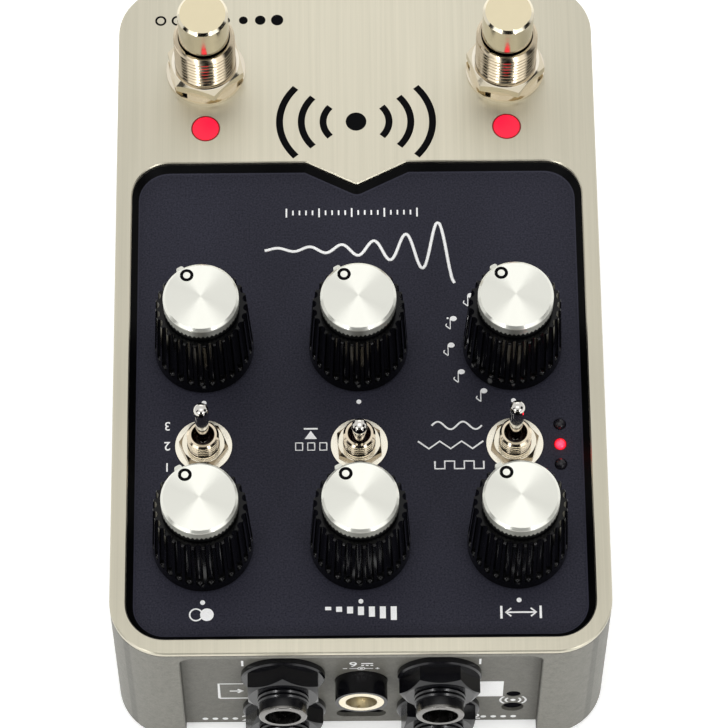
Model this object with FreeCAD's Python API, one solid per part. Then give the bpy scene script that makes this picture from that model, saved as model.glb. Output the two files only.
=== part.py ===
import FreeCAD, Part

import math
import os

from FreeCAD import Vector

# A two-switch echo pedal, in millimetres.
# X runs across, Y from the footswitches at the front to the sockets at the rear, Z up.
# The shapes are laid out about the middle of the casing, with the floor at Z = 0.

# Casing
case_width = 92.0
case_length = 140.8
case_height = 40.0
case_corner = 10.5
case_wall = 2.5
case_skin = 2.4
case_chamfer = 0.4
faceplate_thickness = 1.0
faceplate_chamfer = 0.2

# Base
foot_height = 2.0
foot_radius = 6.0
foot_inset = 15.0
foot_chamfer = 0.5
foot_seat_depth = 0.4
base_thickness = 2.0
base_ledge = 1.2
pillar_radius = 3.6
pillar_inset = 6.8
base_screw_radius = 1.5
base_screw_head_radius = 2.8
base_screw_head_height = 1.6
base_screw_length = 9.0
base_screw_recess = 1.2
base_screw_rim = 0.2
base_screw_key = 2.0

# Clearances, each on the radius or on one side
seat_gap = 0.15
hole_gap = 0.1
thread_gap = 0.05
running_gap = 0.06
tip_gap = 0.3

# How far a cutter runs past what it cuts, and a joined shape into its neighbour
overrun = 1.0

# Control deck, the dark tray sunk into the top
deck_margin = 3.0
deck_setback = 39.2
deck_corner = 7.2
deck_drop = 2.2
deck_slope = 1.5
deck_foot_round = 0.8
deck_thickness = 1.2
deck_flange = 1.4
notch_half_width = 9.65
notch_depth = 4.9
notch_shoulder = 2.2
notch_tip = 0.8

# Socket panel at the rear
recess_ear = 12.8
recess_depth = 2.7
recess_lip = 1.6
recess_corner = 2.5
recess_chamfer = 0.25

# Chamfer of every nut: the width of its flat face as a share of its flats, and the slope
nut_face_share = 0.97
nut_chamfer_angle = 30.0

# Knobs and their potentiometers
knob_inset = 17.0
knob_rear_setback = 22.3
knob_row_pitch = 40.4
knob_height = 17.7
knob_lift = 0.5
knob_foot_radius = 9.35
knob_top_radius = 8.5
knob_rim_round = 0.3
knob_foot_round = 0.3
knob_skirt_radius = 7.9
knob_skirt_depth = 6.6
knob_hub_radius = 4.6
knob_hub_gap = 0.6
knob_rest_angle = -60.0
flute_count = 28
flute_radius = 0.72
flute_depth = 0.75
flute_foot_margin = 2.6
cap_radius = 7.0
cap_sink = 0.8
cap_stand = 3.8
cap_chamfer = 0.45
pointer_lift = 0.9
pointer_thickness = 1.0
pointer_width = 1.4
pointer_reach = 8.25
pointer_round = 0.4
pot_width = 11.0
pot_depth = 12.0
pot_round = 1.5
pot_bushing_radius = 3.5
pot_bushing_rise = 0.7
pot_washer_radius = 5.4
pot_washer_thickness = 0.5
pot_nut_flats = 10.0
pot_nut_thickness = 2.0
shaft_radius = 3.0
shaft_flat = 1.6
shaft_seat_depth = 5.0
shaft_grip = 12.0

# Toggle switches
toggle_bushing_radius = 3.0
toggle_bushing_rise = 3.8
toggle_width = 8.0
toggle_depth = 13.0
toggle_washer_radius = 5.3
toggle_washer_thickness = 0.5
toggle_nut_flats = 8.0
toggle_nut_thickness = 1.2
toggle_bushing_chamfer = 0.4
toggle_mouth_radius = 2.1
toggle_throat_rise = 1.0
lever_ball_radius = 2.2
lever_ball_depth = 3.0
lever_reach = 11.6
lever_neck_radius = 1.0
lever_tip_radius = 1.45
lever_shoulder_round = 0.5
lever_tip_round = 1.35
lever_tail_radius = 0.9
lever_tail_length = 3.2
lever_rest_lean = 14.0

# Lamps
status_lamp_radius = 2.7
status_lamp_offset = 12.7
status_stem_radius = 2.0
mode_lamp_radius = 1.1
mode_lamp_inset = 8.5
mode_lamp_pitch = 4.1
mode_lamp_stand = 0.2
lamp_flange = 0.8
lamp_flange_thickness = 1.0

# Footswitches
footswitch_inset = 17.0
footswitch_setback = 19.0
footswitch_bushing_radius = 5.9
footswitch_bushing_height = 13.5
footswitch_bushing_chamfer = 0.5
footswitch_washer_radius = 7.65
footswitch_washer_thickness = 0.7
lock_washer_radius = 6.9
lock_washer_thickness = 0.9
lock_washer_split = 1.2
footswitch_nut_flats = 13.3
footswitch_nut_thickness = 2.5
footswitch_body_width = 15.4
footswitch_body_height = 17.0
footswitch_body_round = 1.0
plunger_radius = 4.85
plunger_cap_height = 8.15
plunger_chamfer = 0.5
plunger_neck_radius = 4.3
plunger_neck_height = 4.0
plunger_guide_length = 13.0
plunger_gap = 0.35

# Sockets
jack_upper_height = 26.4
jack_lower_height = 10.0
jack_bore_radius = 3.3
jack_bore_depth = 30.0
jack_thread_radius = 4.7
jack_nose_radius = 4.45
jack_washer_radius = 7.8
jack_washer_thickness = 1.3
jack_washer_chamfer = 0.3
jack_nut_flats = 13.0
jack_nut_thickness = 3.5
jack_thread_reach = 1.7
jack_nose_reach = 1.6
jack_ferrule_thickness = 0.6
jack_ferrule_round = 0.3
jack_ferrule_depth = 5.0
jack_ferrule_relief = 0.05
jack_ferrule_wall = 0.45
jack_body_width = 13.0
jack_body_half_height = 5.7
jack_end_wall = 1.5
dc_axis_rise = 5.2
dc_snout_radius = 4.85
dc_snout_reach = 4.3
dc_body_width = 11.0
dc_body_depth = 11.0
dc_sleeve_radius = 4.2
dc_sleeve_bore = 2.95
dc_sleeve_depth = 9.5
dc_pin_radius = 1.05
dc_pin_setback = 2.0
dc_pin_round = 0.85
usb_height = 6.2
usb_width = 9.2
usb_thickness = 3.2
usb_shell_wall = 0.3
usb_depth = 7.3
usb_setback = 0.8
usb_back_wall = 1.0
usb_tongue_setback = 1.0
usb_tongue_width = 6.6
usb_tongue_thickness = 0.7
pair_inset = 4.6
pair_button_height = 8.8
pair_button_radius = 2.0
pair_button_setback = 0.5
pair_button_head = 2.2
pair_button_chamfer = 0.25
pair_stem_radius = 1.6
pair_stem_sink = 1.5
pair_switch_width = 6.0
pair_switch_depth = 3.4
pair_lamp_height = 15.3
pair_lamp_radius = 1.25

# Circuit boards
board_thickness = 1.6
main_board_drop = 6.8
board_margin = 2.0
board_slot_gap = 0.5
board_corner = 2.0
board_notch_corner = 1.0
main_board_front_gap = 1.5
board_boss_radius = 3.0
front_boss_pitch = 28.0
front_boss_setback = 34.4
rear_boss_inset = 8.0
rear_boss_setback = 26.4
board_screw_radius = 1.25
board_screw_head_radius = 2.3
board_screw_head_height = 1.5
board_screw_head_chamfer = 0.4
board_screw_bite = 4.0
standoff_flats = 5.0
io_board_height = 15.8
io_board_depth = 29.0
io_board_step = 9.6
riser_thickness = 1.0
riser_depth = 12.0
riser_gap = 0.4
pair_board_foot = 3.0
header_width = 2.5
header_inset = 1.0
chip_width = 14.0
chip_thickness = 1.4
shield_length = 18.0
shield_width = 12.0
shield_thickness = 2.2

# Levels, worked out from the floor upwards
base_top = foot_height + base_thickness
case_top = foot_height + case_height
plate_top = case_top + faceplate_thickness
deck_top = plate_top - deck_drop
deck_under = deck_top - deck_thickness
ceiling = deck_under - case_skin
board_top = ceiling - main_board_drop
board_under = board_top - board_thickness
io_board_top = io_board_height + board_thickness
dc_height = io_board_top + dc_axis_rise

# Places along X
recess_half_width = case_width / 2 - recess_ear
knob_pitch = case_width / 2 - knob_inset
footswitch_offset = case_width / 2 - footswitch_inset
jack_offset = knob_pitch / 2
pair_offset = recess_half_width - pair_inset

# Places along Y
front_face = -case_length / 2
rear_face = case_length / 2
panel_face = rear_face - recess_depth
panel_back = panel_face - case_wall
jack_thread_end = panel_face + jack_washer_thickness + jack_nut_thickness + jack_thread_reach
jack_mouth = jack_thread_end + jack_nose_reach + jack_ferrule_thickness
jack_bore_end = jack_mouth - jack_bore_depth
box_middle = (front_face + jack_mouth) / 2
knob_rear_row = rear_face - knob_rear_setback
knob_front_row = knob_rear_row - knob_row_pitch
toggle_row = (knob_rear_row + knob_front_row) / 2
footswitch_row = front_face + footswitch_setback
status_row = footswitch_row + status_lamp_offset
footswitch_body_back = footswitch_row + footswitch_body_width / 2
io_board_front = panel_back - io_board_depth
io_board_wing_rear = panel_back - io_board_step + board_thickness

knob_places = {
    "front_left": (-knob_pitch, knob_front_row),
    "front_middle": (0.0, knob_front_row),
    "front_right": (knob_pitch, knob_front_row),
    "rear_left": (-knob_pitch, knob_rear_row),
    "rear_middle": (0.0, knob_rear_row),
    "rear_right": (knob_pitch, knob_rear_row),
}
toggle_places = {"left": -knob_pitch, "middle": 0.0, "right": knob_pitch}
footswitch_places = {"left": -footswitch_offset, "right": footswitch_offset}
jack_places = {
    "output_upper": (-jack_offset, jack_upper_height),
    "output_lower": (-jack_offset, jack_lower_height),
    "input_upper": (jack_offset, jack_upper_height),
    "input_lower": (jack_offset, jack_lower_height),
}
# How far each nut happened to turn when it was tightened
jack_nut_turns = {"output_upper": 0.0, "output_lower": 22.0, "input_upper": 30.0, "input_lower": 12.0}
toggle_nut_turns = {"left": 14.0, "middle": 34.0, "right": 54.0}
footswitch_nut_turns = {"left": 48.0, "right": 43.0}
lock_washer_turns = {"left": -30.0, "right": -36.0}


# Shared shapes

def rounded_outline(corners):
    """Closed wire in XY through (x, y, radius) corners, each rounded by its own radius."""
    starts = []
    ends = []
    middles = []
    count = len(corners)
    for index, (x, y, radius) in enumerate(corners):
        corner = Vector(x, y, 0)
        before = Vector(corners[index - 1][0], corners[index - 1][1], 0) - corner
        after = Vector(corners[(index + 1) % count][0], corners[(index + 1) % count][1], 0) - corner
        before.normalize()
        after.normalize()
        half_angle = before.getAngle(after) / 2
        reach = radius / math.tan(half_angle)
        bisector = before + after
        if radius > 0:
            bisector.normalize()
        starts.append(corner + before * reach)
        ends.append(corner + after * reach)
        middles.append(corner + bisector * (radius / math.sin(half_angle) - radius))
    edges = []
    for index in range(count):
        if corners[index][2] > 0:
            edges.append(Part.Arc(starts[index], middles[index], ends[index]).toShape())
        following = starts[(index + 1) % count]
        if ends[index].distanceToPoint(following) > 1e-6:
            edges.append(Part.LineSegment(ends[index], following).toShape())
    return Part.Wire(edges)


def prism(wire, bottom, height):
    """Upright solid on an outline."""
    face = Part.Face(wire)
    face.translate(Vector(0, 0, bottom))
    return face.extrude(Vector(0, 0, height))


def revolved(corners):
    """Solid turned about Z from a closed (radius, height, rounding) profile."""
    face = Part.Face(rounded_outline(corners))
    face.rotate(Vector(0, 0, 0), Vector(1, 0, 0), 90)
    return face.revolve(Vector(0, 0, 0), Vector(0, 0, 1), 360)


def rectangle(half_width, front, rear, radius):
    return rounded_outline([
        (-half_width, front, radius),
        (half_width, front, radius),
        (half_width, rear, radius),
        (-half_width, rear, radius),
    ])


def block(left, right, front, rear, bottom, top):
    return Part.makeBox(right - left, rear - front, top - bottom, Vector(left, front, bottom))


def rod(radius, bottom, top, x=0.0, y=0.0):
    """Upright cylinder."""
    return Part.makeCylinder(radius, top - bottom, Vector(x, y, bottom))


def rear_rod(radius, front, rear, x, z):
    """Cylinder along Y."""
    return Part.makeCylinder(radius, rear - front, Vector(x, front, z), Vector(0, 1, 0))


def facing_rear(shape, x, y, z):
    """Turn a shape that stands on Z = 0 so that its top faces the rear, and place it."""
    shape.rotate(Vector(0, 0, 0), Vector(1, 0, 0), -90)
    shape.translate(Vector(x, y, z))
    return shape


def washer(outer, inner, bottom, thickness, x, y):
    ring = rod(outer, bottom, bottom + thickness, x, y)
    return ring.cut(rod(inner, bottom - overrun, bottom + thickness + overrun, x, y))


def hexagon(flats, height):
    """Upright hexagonal prism standing on Z = 0, with a corner on +X."""
    corner = flats / math.sqrt(3)
    points = []
    for step in range(6):
        angle = math.radians(60 * step)
        points.append((corner * math.cos(angle), corner * math.sin(angle), 0))
    return prism(rounded_outline(points), 0, height)


def hex_nut(flats, bore, thickness, chamfered=True):
    """Nut standing on Z = 0, its top corners turned off at thirty degrees."""
    nut = hexagon(flats, thickness)
    if chamfered:
        face_radius = flats / 2 * nut_face_share
        corner_radius = flats / math.sqrt(3) + overrun
        fall = (corner_radius - face_radius) * math.tan(math.radians(nut_chamfer_angle))
        dome = revolved([
            (0, 0, 0),
            (corner_radius, 0, 0),
            (corner_radius, thickness - fall, 0),
            (face_radius, thickness, 0),
            (0, thickness, 0),
        ])
        nut = nut.common(dome)
    return nut.cut(rod(bore, -overrun, thickness + overrun))


def edges_at(shape, level):
    """Edges that lie flat at one level."""
    return [edge for edge in shape.Edges
            if abs(edge.BoundBox.ZMin - level) < 1e-6 and abs(edge.BoundBox.ZMax - level) < 1e-6]


def upright_edges(shape):
    return [edge for edge in shape.Edges if edge.BoundBox.ZLength > shape.BoundBox.ZLength / 2]


def at_knobs(shape):
    """Copies of one shape at the six knobs."""
    copies = []
    for x, y in knob_places.values():
        copy = shape.copy()
        copy.translate(Vector(x, y, 0))
        copies.append(copy)
    return copies


def save(name, shape):
    """Write one node, moved so that the origin is under the middle of the whole pedal."""
    if isinstance(shape, list):
        shape = Part.makeCompound(shape)
    placed = shape.copy()
    placed.translate(Vector(0, -box_middle, 0))
    placed.exportStep("parts/" + name + ".step")


# Casing

def case_outline(inset):
    half_width = case_width / 2 - inset
    return rectangle(half_width, front_face + inset, rear_face - inset, case_corner - inset)


def inner_prism(inset, bottom, height):
    """Inside of the casing, stepped in behind the recessed socket panel."""
    solid = prism(case_outline(inset), bottom, height)
    half_width = recess_half_width + inset
    front = panel_face - inset
    step = block(-half_width, half_width, front, rear_face, bottom - overrun, bottom + height + overrun)
    return solid.cut(step)


def deck_outline(spread):
    """Outline of the deck opening, grown all round by spread, with its pointed notch at the front."""
    half_width = case_width / 2 - deck_margin + spread
    rear = rear_face - deck_margin + spread
    front = front_face + deck_setback - spread
    slope = math.atan2(notch_depth, notch_half_width)
    tip = front_face + deck_setback + notch_depth - spread / math.cos(slope)
    shoulder = (tip - front) / math.tan(slope)
    return rounded_outline([
        (-half_width, front, deck_corner + spread),
        (-shoulder, front, notch_shoulder + spread),
        (0, tip, max(notch_tip - spread, 0)),
        (shoulder, front, notch_shoulder + spread),
        (half_width, front, deck_corner + spread),
        (half_width, rear, deck_corner + spread),
        (-half_width, rear, deck_corner + spread),
    ])


def top_holes(bottom, top):
    """Cutters for everything that passes through the top of the casing."""
    cutters = []
    for x, y in knob_places.values():
        cutters.append(rod(pot_bushing_radius + hole_gap, bottom, top, x, y))
    for x in toggle_places.values():
        cutters.append(rod(toggle_bushing_radius + hole_gap, bottom, top, x, toggle_row))
    for x in footswitch_places.values():
        cutters.append(rod(footswitch_bushing_radius + hole_gap, bottom, top, x, footswitch_row))
        cutters.append(rod(status_lamp_radius + hole_gap, bottom, top, x, status_row))
    for x, y in mode_lamp_places():
        cutters.append(rod(mode_lamp_radius + hole_gap, bottom, top, x, y))
    return cutters


def mode_lamp_places():
    x = -case_width / 2 + mode_lamp_inset
    return [(x, toggle_row + step * mode_lamp_pitch) for step in (-1, 0, 1)]


def pillar_places():
    x = case_width / 2 - pillar_inset
    y = case_length / 2 - pillar_inset
    return [(-x, -y), (x, -y), (x, y), (-x, y)]


def foot_places():
    x = case_width / 2 - foot_inset
    y = case_length / 2 - foot_inset
    return [(-x, -y), (x, -y), (x, y), (-x, y)]


def front_boss_places():
    y = front_face + front_boss_setback
    return [(-front_boss_pitch / 2, y), (front_boss_pitch / 2, y)]


def rear_boss_places():
    x = case_width / 2 - rear_boss_inset
    y = rear_face - rear_boss_setback
    return [(-x, y), (x, y)]


def usb_slot(spread, front, rear):
    """Stadium along Y for the small data socket."""
    half_width = usb_width / 2 + spread
    half_height = usb_thickness / 2 + spread
    outline = rectangle(half_width, usb_height - half_height, usb_height + half_height, half_height)
    face = Part.Face(outline)
    face.rotate(Vector(0, 0, 0), Vector(1, 0, 0), 90)
    face.translate(Vector(0, front, 0))
    return face.extrude(Vector(0, rear - front, 0))


def recess():
    """Cutter for the socket recess, open at the foot of the casing."""
    top = case_top - recess_lip
    outline = Part.Face(rounded_outline([
        (-recess_half_width, 0, 0),
        (recess_half_width, 0, 0),
        (recess_half_width, top, recess_corner),
        (-recess_half_width, top, recess_corner),
    ]))
    outline.rotate(Vector(0, 0, 0), Vector(1, 0, 0), 90)
    outline.translate(Vector(0, panel_face, 0))
    return outline.extrude(Vector(0, recess_depth + overrun, 0))


def recess_mouth(shell):
    """Edges where the recess meets the rear face."""
    edges = [edge for edge in shell.Edges if edge.BoundBox.YMin > rear_face - 1e-6]
    edges = [edge for edge in edges if abs(edge.CenterOfMass.x) < recess_half_width + 1e-6]
    return [edge for edge in edges if foot_height + 1e-6 < edge.CenterOfMass.z < case_top - recess_lip + 1e-6]


def enclosure():
    """Cast shell, open underneath, with a pocket for the deck and a recessed socket panel."""
    shell = prism(case_outline(0), foot_height, case_height)
    shell = shell.makeChamfer(case_chamfer, edges_at(shell, case_top)).cut(recess())
    shell = shell.makeChamfer(recess_chamfer, recess_mouth(shell))
    shell = shell.cut(inner_prism(case_wall, foot_height - overrun, ceiling - foot_height + overrun))
    pillars = [rod(pillar_radius, base_top, ceiling + overrun, x, y) for x, y in pillar_places()]
    bosses = front_boss_places() + rear_boss_places()
    pillars += [rod(board_boss_radius, board_top, ceiling + overrun, x, y) for x, y in bosses]
    shell = shell.fuse(pillars)

    cutters = [inner_prism(case_wall - base_ledge, foot_height - overrun, base_thickness + overrun)]
    cutters.append(prism(deck_outline(deck_flange + seat_gap), deck_under, case_height))
    cutters += top_holes(0, plate_top)
    start = panel_back - overrun
    end = panel_face + overrun
    for x, z in jack_places.values():
        cutters.append(rear_rod(jack_thread_radius + hole_gap, start, end, x, z))
    cutters.append(rear_rod(dc_snout_radius + hole_gap, start, end, 0, dc_height))
    cutters.append(usb_slot(hole_gap, start, end))
    for radius, height in ((pair_button_radius, pair_button_height), (pair_lamp_radius, pair_lamp_height)):
        cutters.append(rear_rod(radius + hole_gap, start, end, -pair_offset, height))
    for x, y in pillar_places():
        cutters.append(rod(base_screw_radius, base_top - overrun, base_top + base_screw_length, x, y))
    for x, y in bosses:
        cutters.append(rod(board_screw_radius, board_top - overrun, board_top + board_screw_bite, x, y))
    return shell.cut(cutters)


def faceplate():
    """Brushed plate over the whole top, cut out for the deck."""
    plate = prism(case_outline(0), case_top, faceplate_thickness)
    plate = plate.cut(prism(deck_outline(0), case_top - overrun, faceplate_thickness + 2 * overrun))
    plate = plate.makeChamfer(faceplate_chamfer, edges_at(plate, plate_top))
    cutters = []
    bottom = case_top - overrun
    top = plate_top + overrun
    for x in footswitch_places.values():
        cutters.append(rod(footswitch_bushing_radius + hole_gap, bottom, top, x, footswitch_row))
        cutters.append(rod(status_lamp_radius + hole_gap, bottom, top, x, status_row))
    return plate.cut(cutters)


def control_deck():
    """Tray with a sloping rim that hangs its flange under the faceplate."""
    tray = prism(deck_outline(deck_flange), deck_under, case_top - deck_under)
    floor = deck_outline(-deck_slope)
    floor.translate(Vector(0, 0, deck_top))
    rim = deck_outline(0)
    rim.translate(Vector(0, 0, case_top))
    hollow = Part.makeLoft([floor, rim], True, True)
    hollow = hollow.makeFillet(deck_foot_round, edges_at(hollow, deck_top))
    return tray.cut([hollow] + top_holes(0, plate_top))


def base_screw_cone(x, y, spread):
    """Countersunk head with its flat face outwards."""
    cone = revolved([
        (0, 0, 0),
        (base_screw_head_radius + spread, 0, 0),
        (base_screw_head_radius + spread, base_screw_rim, 0),
        (base_screw_radius + spread, base_screw_head_height, 0),
        (0, base_screw_head_height, 0),
    ])
    cone.translate(Vector(x, y, foot_height))
    return cone


def base_plate():
    """Flat lid let into the bottom of the casing, with shallow round seats for the feet."""
    plate = inner_prism(case_wall - base_ledge + seat_gap, foot_height, base_thickness)
    cutters = []
    for x, y in pillar_places():
        cutters.append(rod(base_screw_radius + seat_gap, foot_height - overrun, base_top + overrun, x, y))
        cutters.append(base_screw_cone(x, y, seat_gap))
    seat_top = foot_height + foot_seat_depth
    for x, y in foot_places():
        cutters.append(rod(foot_radius + seat_gap, foot_height - overrun, seat_top, x, y))
    return plate.cut(cutters)


def base_screws():
    screws = []
    for x, y in pillar_places():
        screw = base_screw_cone(x, y, 0)
        shank_top = foot_height + base_screw_length
        screw = screw.fuse(rod(base_screw_radius, foot_height + base_screw_head_height / 2, shank_top, x, y))
        socket = hexagon(base_screw_key, base_screw_recess)
        socket.translate(Vector(x, y, foot_height))
        screws.append(screw.cut(socket))
    return screws


def rubber_feet():
    feet = []
    for x, y in foot_places():
        foot = revolved([
            (0, 0, 0),
            (foot_radius - foot_chamfer, 0, 0),
            (foot_radius, foot_chamfer, 0),
            (foot_radius, foot_height + foot_seat_depth, 0),
            (0, foot_height + foot_seat_depth, 0),
        ])
        foot.translate(Vector(x, y, 0))
        feet.append(foot)
    return feet


# Knobs and potentiometers

knob_foot = deck_top + knob_lift
knob_top = knob_foot + knob_height
pot_bushing_top = deck_top + pot_washer_thickness + pot_nut_thickness + pot_bushing_rise
hub_foot = pot_bushing_top + knob_hub_gap
shaft_top = hub_foot + shaft_grip
shaft_foot = pot_bushing_top - shaft_seat_depth - case_skin - deck_thickness


def flatted_rod(radius, flat, bottom, top):
    """Round shaft with one flat that faces the pointer."""
    shaft = rod(radius, bottom, top)
    reach = radius + overrun
    return shaft.cut(block(flat, reach, -reach, reach, bottom - overrun, top + overrun))


def flute_cutter():
    """One groove with a round foot, leaning with the knob's taper and open at the top."""
    slope = (knob_foot_radius - knob_top_radius) / knob_height
    start = flute_foot_margin + flute_radius
    groove = Part.makeCylinder(flute_radius, knob_height, Vector(0, 0, 0))
    groove = groove.fuse(Part.makeSphere(flute_radius, Vector(0, 0, 0)))
    groove.rotate(Vector(0, 0, 0), Vector(0, 1, 0), -math.degrees(math.atan(slope)))
    reach = knob_foot_radius - slope * start + flute_radius - flute_depth
    groove.translate(Vector(reach, 0, knob_foot + start))
    return groove


def knob():
    """Fluted, slightly tapered knob, hollow underneath round its hub, with a seat for its cap."""
    body = revolved([
        (0, hub_foot, 0),
        (knob_hub_radius, hub_foot, 0),
        (knob_hub_radius, knob_foot + knob_skirt_depth, 0),
        (knob_skirt_radius, knob_foot + knob_skirt_depth, 0),
        (knob_skirt_radius, knob_foot, 0),
        (knob_foot_radius, knob_foot, knob_foot_round),
        (knob_top_radius, knob_top, knob_rim_round),
        (cap_radius + thread_gap, knob_top, 0),
        (cap_radius + thread_gap, knob_top - cap_sink, 0),
        (0, knob_top - cap_sink, 0),
    ])
    flutes = []
    for step in range(flute_count):
        cutter = flute_cutter()
        cutter.rotate(Vector(0, 0, 0), Vector(0, 0, 1), (step + 0.5) * 360 / flute_count)
        flutes.append(cutter)
    body = body.cut(flutes)
    return body.cut(flatted_rod(shaft_radius, shaft_flat, hub_foot - overrun, shaft_top + tip_gap))


def knob_cap():
    """Turned metal disc with a small pointer on its side that reaches to the edge of the knob."""
    seat = knob_top - cap_sink
    face = knob_top + cap_stand
    disc = revolved([
        (0, seat, 0),
        (cap_radius, seat, 0),
        (cap_radius, face - cap_chamfer, 0),
        (cap_radius - cap_chamfer, face, 0),
        (0, face, 0),
    ])
    half = pointer_width / 2
    outline = rounded_outline([
        (cap_radius / 2, -half, 0),
        (pointer_reach, -half, pointer_round),
        (pointer_reach, half, pointer_round),
        (cap_radius / 2, half, 0),
    ])
    pointer = prism(outline, knob_top + pointer_lift, pointer_thickness)
    return disc.fuse(pointer).removeSplitter()


def pot_shaft():
    return flatted_rod(shaft_radius, shaft_flat, pot_bushing_top + tip_gap, shaft_top).fuse(
        rod(shaft_radius, shaft_foot, pot_bushing_top + tip_gap)
    ).removeSplitter()


def pot_bodies():
    """Square potentiometers that stand on the main board, with threaded bushings."""
    body = block(-pot_width / 2, pot_width / 2, -pot_depth / 2, pot_depth / 2, board_top, ceiling)
    body = body.makeFillet(pot_round, upright_edges(body))
    body = body.fuse(rod(pot_bushing_radius, ceiling - overrun, pot_bushing_top))
    bore = rod(shaft_radius + running_gap, shaft_foot - tip_gap, pot_bushing_top + overrun)
    return at_knobs(body.cut(bore))


def pot_washers():
    inner = pot_bushing_radius + thread_gap
    return at_knobs(washer(pot_washer_radius, inner, deck_top, pot_washer_thickness, 0, 0))


def pot_nuts():
    nut = hex_nut(pot_nut_flats, pot_bushing_radius + thread_gap, pot_nut_thickness, False)
    nut.translate(Vector(0, 0, deck_top + pot_washer_thickness))
    return at_knobs(nut)


# Toggle switches

toggle_bushing_top = deck_top + toggle_washer_thickness + toggle_nut_thickness + toggle_bushing_rise
lever_pivot = toggle_bushing_top - lever_ball_depth
lever_top = toggle_bushing_top + lever_reach


def toggle_bodies():
    """Switch bodies on the main board, each with a threaded bushing that holds the lever's ball."""
    body = block(-toggle_width / 2, toggle_width / 2, -toggle_depth / 2, toggle_depth / 2, board_top, ceiling)
    bushing = revolved([
        (0, ceiling - overrun, 0),
        (toggle_bushing_radius, ceiling - overrun, 0),
        (toggle_bushing_radius, toggle_bushing_top - toggle_bushing_chamfer, 0),
        (toggle_bushing_radius - toggle_bushing_chamfer, toggle_bushing_top, 0),
        (0, toggle_bushing_top, 0),
    ])
    socket_radius = lever_ball_radius + running_gap
    throat = lever_pivot + toggle_throat_rise
    socket = rod(socket_radius, lever_pivot - lever_tail_length - overrun, throat)
    mouth = rod(toggle_mouth_radius, throat - overrun, toggle_bushing_top + overrun)
    body = body.fuse(bushing).cut([socket, mouth])
    bodies = []
    for x in toggle_places.values():
        copy = body.copy()
        copy.translate(Vector(x, toggle_row, 0))
        bodies.append(copy)
    return bodies


def toggle_washers():
    inner = toggle_bushing_radius + thread_gap
    washers = []
    for x in toggle_places.values():
        washers.append(washer(toggle_washer_radius, inner, deck_top, toggle_washer_thickness, x, toggle_row))
    return washers


def toggle_nuts():
    nuts = []
    for name, x in toggle_places.items():
        nut = hex_nut(toggle_nut_flats, toggle_bushing_radius + thread_gap, toggle_nut_thickness)
        nut.rotate(Vector(0, 0, 0), Vector(0, 0, 1), toggle_nut_turns[name])
        nut.translate(Vector(x, toggle_row, deck_top + toggle_washer_thickness))
        nuts.append(nut)
    return nuts


def toggle_lever(x, lean):
    """Bat lever on a ball, leaning back by lean degrees."""
    bat = revolved([
        (0, lever_pivot, 0),
        (lever_neck_radius, lever_pivot, 0),
        (lever_tip_radius, lever_top - lever_tip_radius - lever_shoulder_round, lever_shoulder_round),
        (lever_tip_radius, lever_top, lever_tip_round),
        (0, lever_top, 0),
    ])
    ball = Part.makeSphere(lever_ball_radius, Vector(0, 0, lever_pivot))
    tail = rod(lever_tail_radius, lever_pivot - lever_tail_length, lever_pivot)
    lever = ball.fuse([bat, tail]).removeSplitter()
    lever.rotate(Vector(0, 0, lever_pivot), Vector(1, 0, 0), -lean)
    lever.translate(Vector(x, toggle_row, 0))
    return lever


# Lamps

def lamp(radius, stem_radius, top, x, y):
    """Light guide: head in its hole, flange under the casing's skin, stem down to the board."""
    head = rod(radius, ceiling - lamp_flange_thickness, top, x, y)
    flange = rod(radius + lamp_flange, ceiling - lamp_flange_thickness, ceiling, x, y)
    stem = rod(stem_radius, board_top, ceiling, x, y)
    return head.fuse([flange, stem]).removeSplitter()


def status_lenses():
    places = footswitch_places.values()
    return [lamp(status_lamp_radius, status_stem_radius, plate_top, x, status_row) for x in places]


def mode_lamps():
    top = deck_top + mode_lamp_stand
    return [lamp(mode_lamp_radius, mode_lamp_radius, top, x, y) for x, y in mode_lamp_places()]


def pair_lamp():
    x = -pair_offset
    back = io_board_wing_rear
    head = rear_rod(pair_lamp_radius, back, panel_face - hole_gap, x, pair_lamp_height)
    flange = rear_rod(pair_lamp_radius + lamp_flange, panel_back - lamp_flange_thickness, panel_back, x,
                      pair_lamp_height)
    return head.fuse(flange).removeSplitter()


# Footswitches

footswitch_bushing_top = plate_top + footswitch_bushing_height
footswitch_body_top = ceiling - footswitch_nut_thickness - lock_washer_thickness
plunger_foot = footswitch_bushing_top + plunger_gap
plunger_top = plunger_foot + plunger_cap_height


def footswitch_bodies():
    bodies = []
    half = footswitch_body_width / 2
    for x in footswitch_places.values():
        front = footswitch_row - half
        bottom = footswitch_body_top - footswitch_body_height
        body = block(x - half, x + half, front, front + 2 * half, bottom, footswitch_body_top)
        bodies.append(body.makeFillet(footswitch_body_round, upright_edges(body)))
    return bodies


def footswitch_bushings():
    bushings = []
    for x in footswitch_places.values():
        bore = plunger_radius + running_gap
        bushing = revolved([
            (bore, footswitch_body_top, 0),
            (footswitch_bushing_radius, footswitch_body_top, 0),
            (footswitch_bushing_radius, footswitch_bushing_top - footswitch_bushing_chamfer, 0),
            (footswitch_bushing_radius - footswitch_bushing_chamfer, footswitch_bushing_top, 0),
            (bore, footswitch_bushing_top, 0),
        ])
        bushing.translate(Vector(x, footswitch_row, 0))
        bushings.append(bushing)
    return bushings


def footswitch_washers():
    inner = footswitch_bushing_radius + thread_gap
    outer = footswitch_washer_radius
    thickness = footswitch_washer_thickness
    places = footswitch_places.values()
    return [washer(outer, inner, plate_top, thickness, x, footswitch_row) for x in places]


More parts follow.
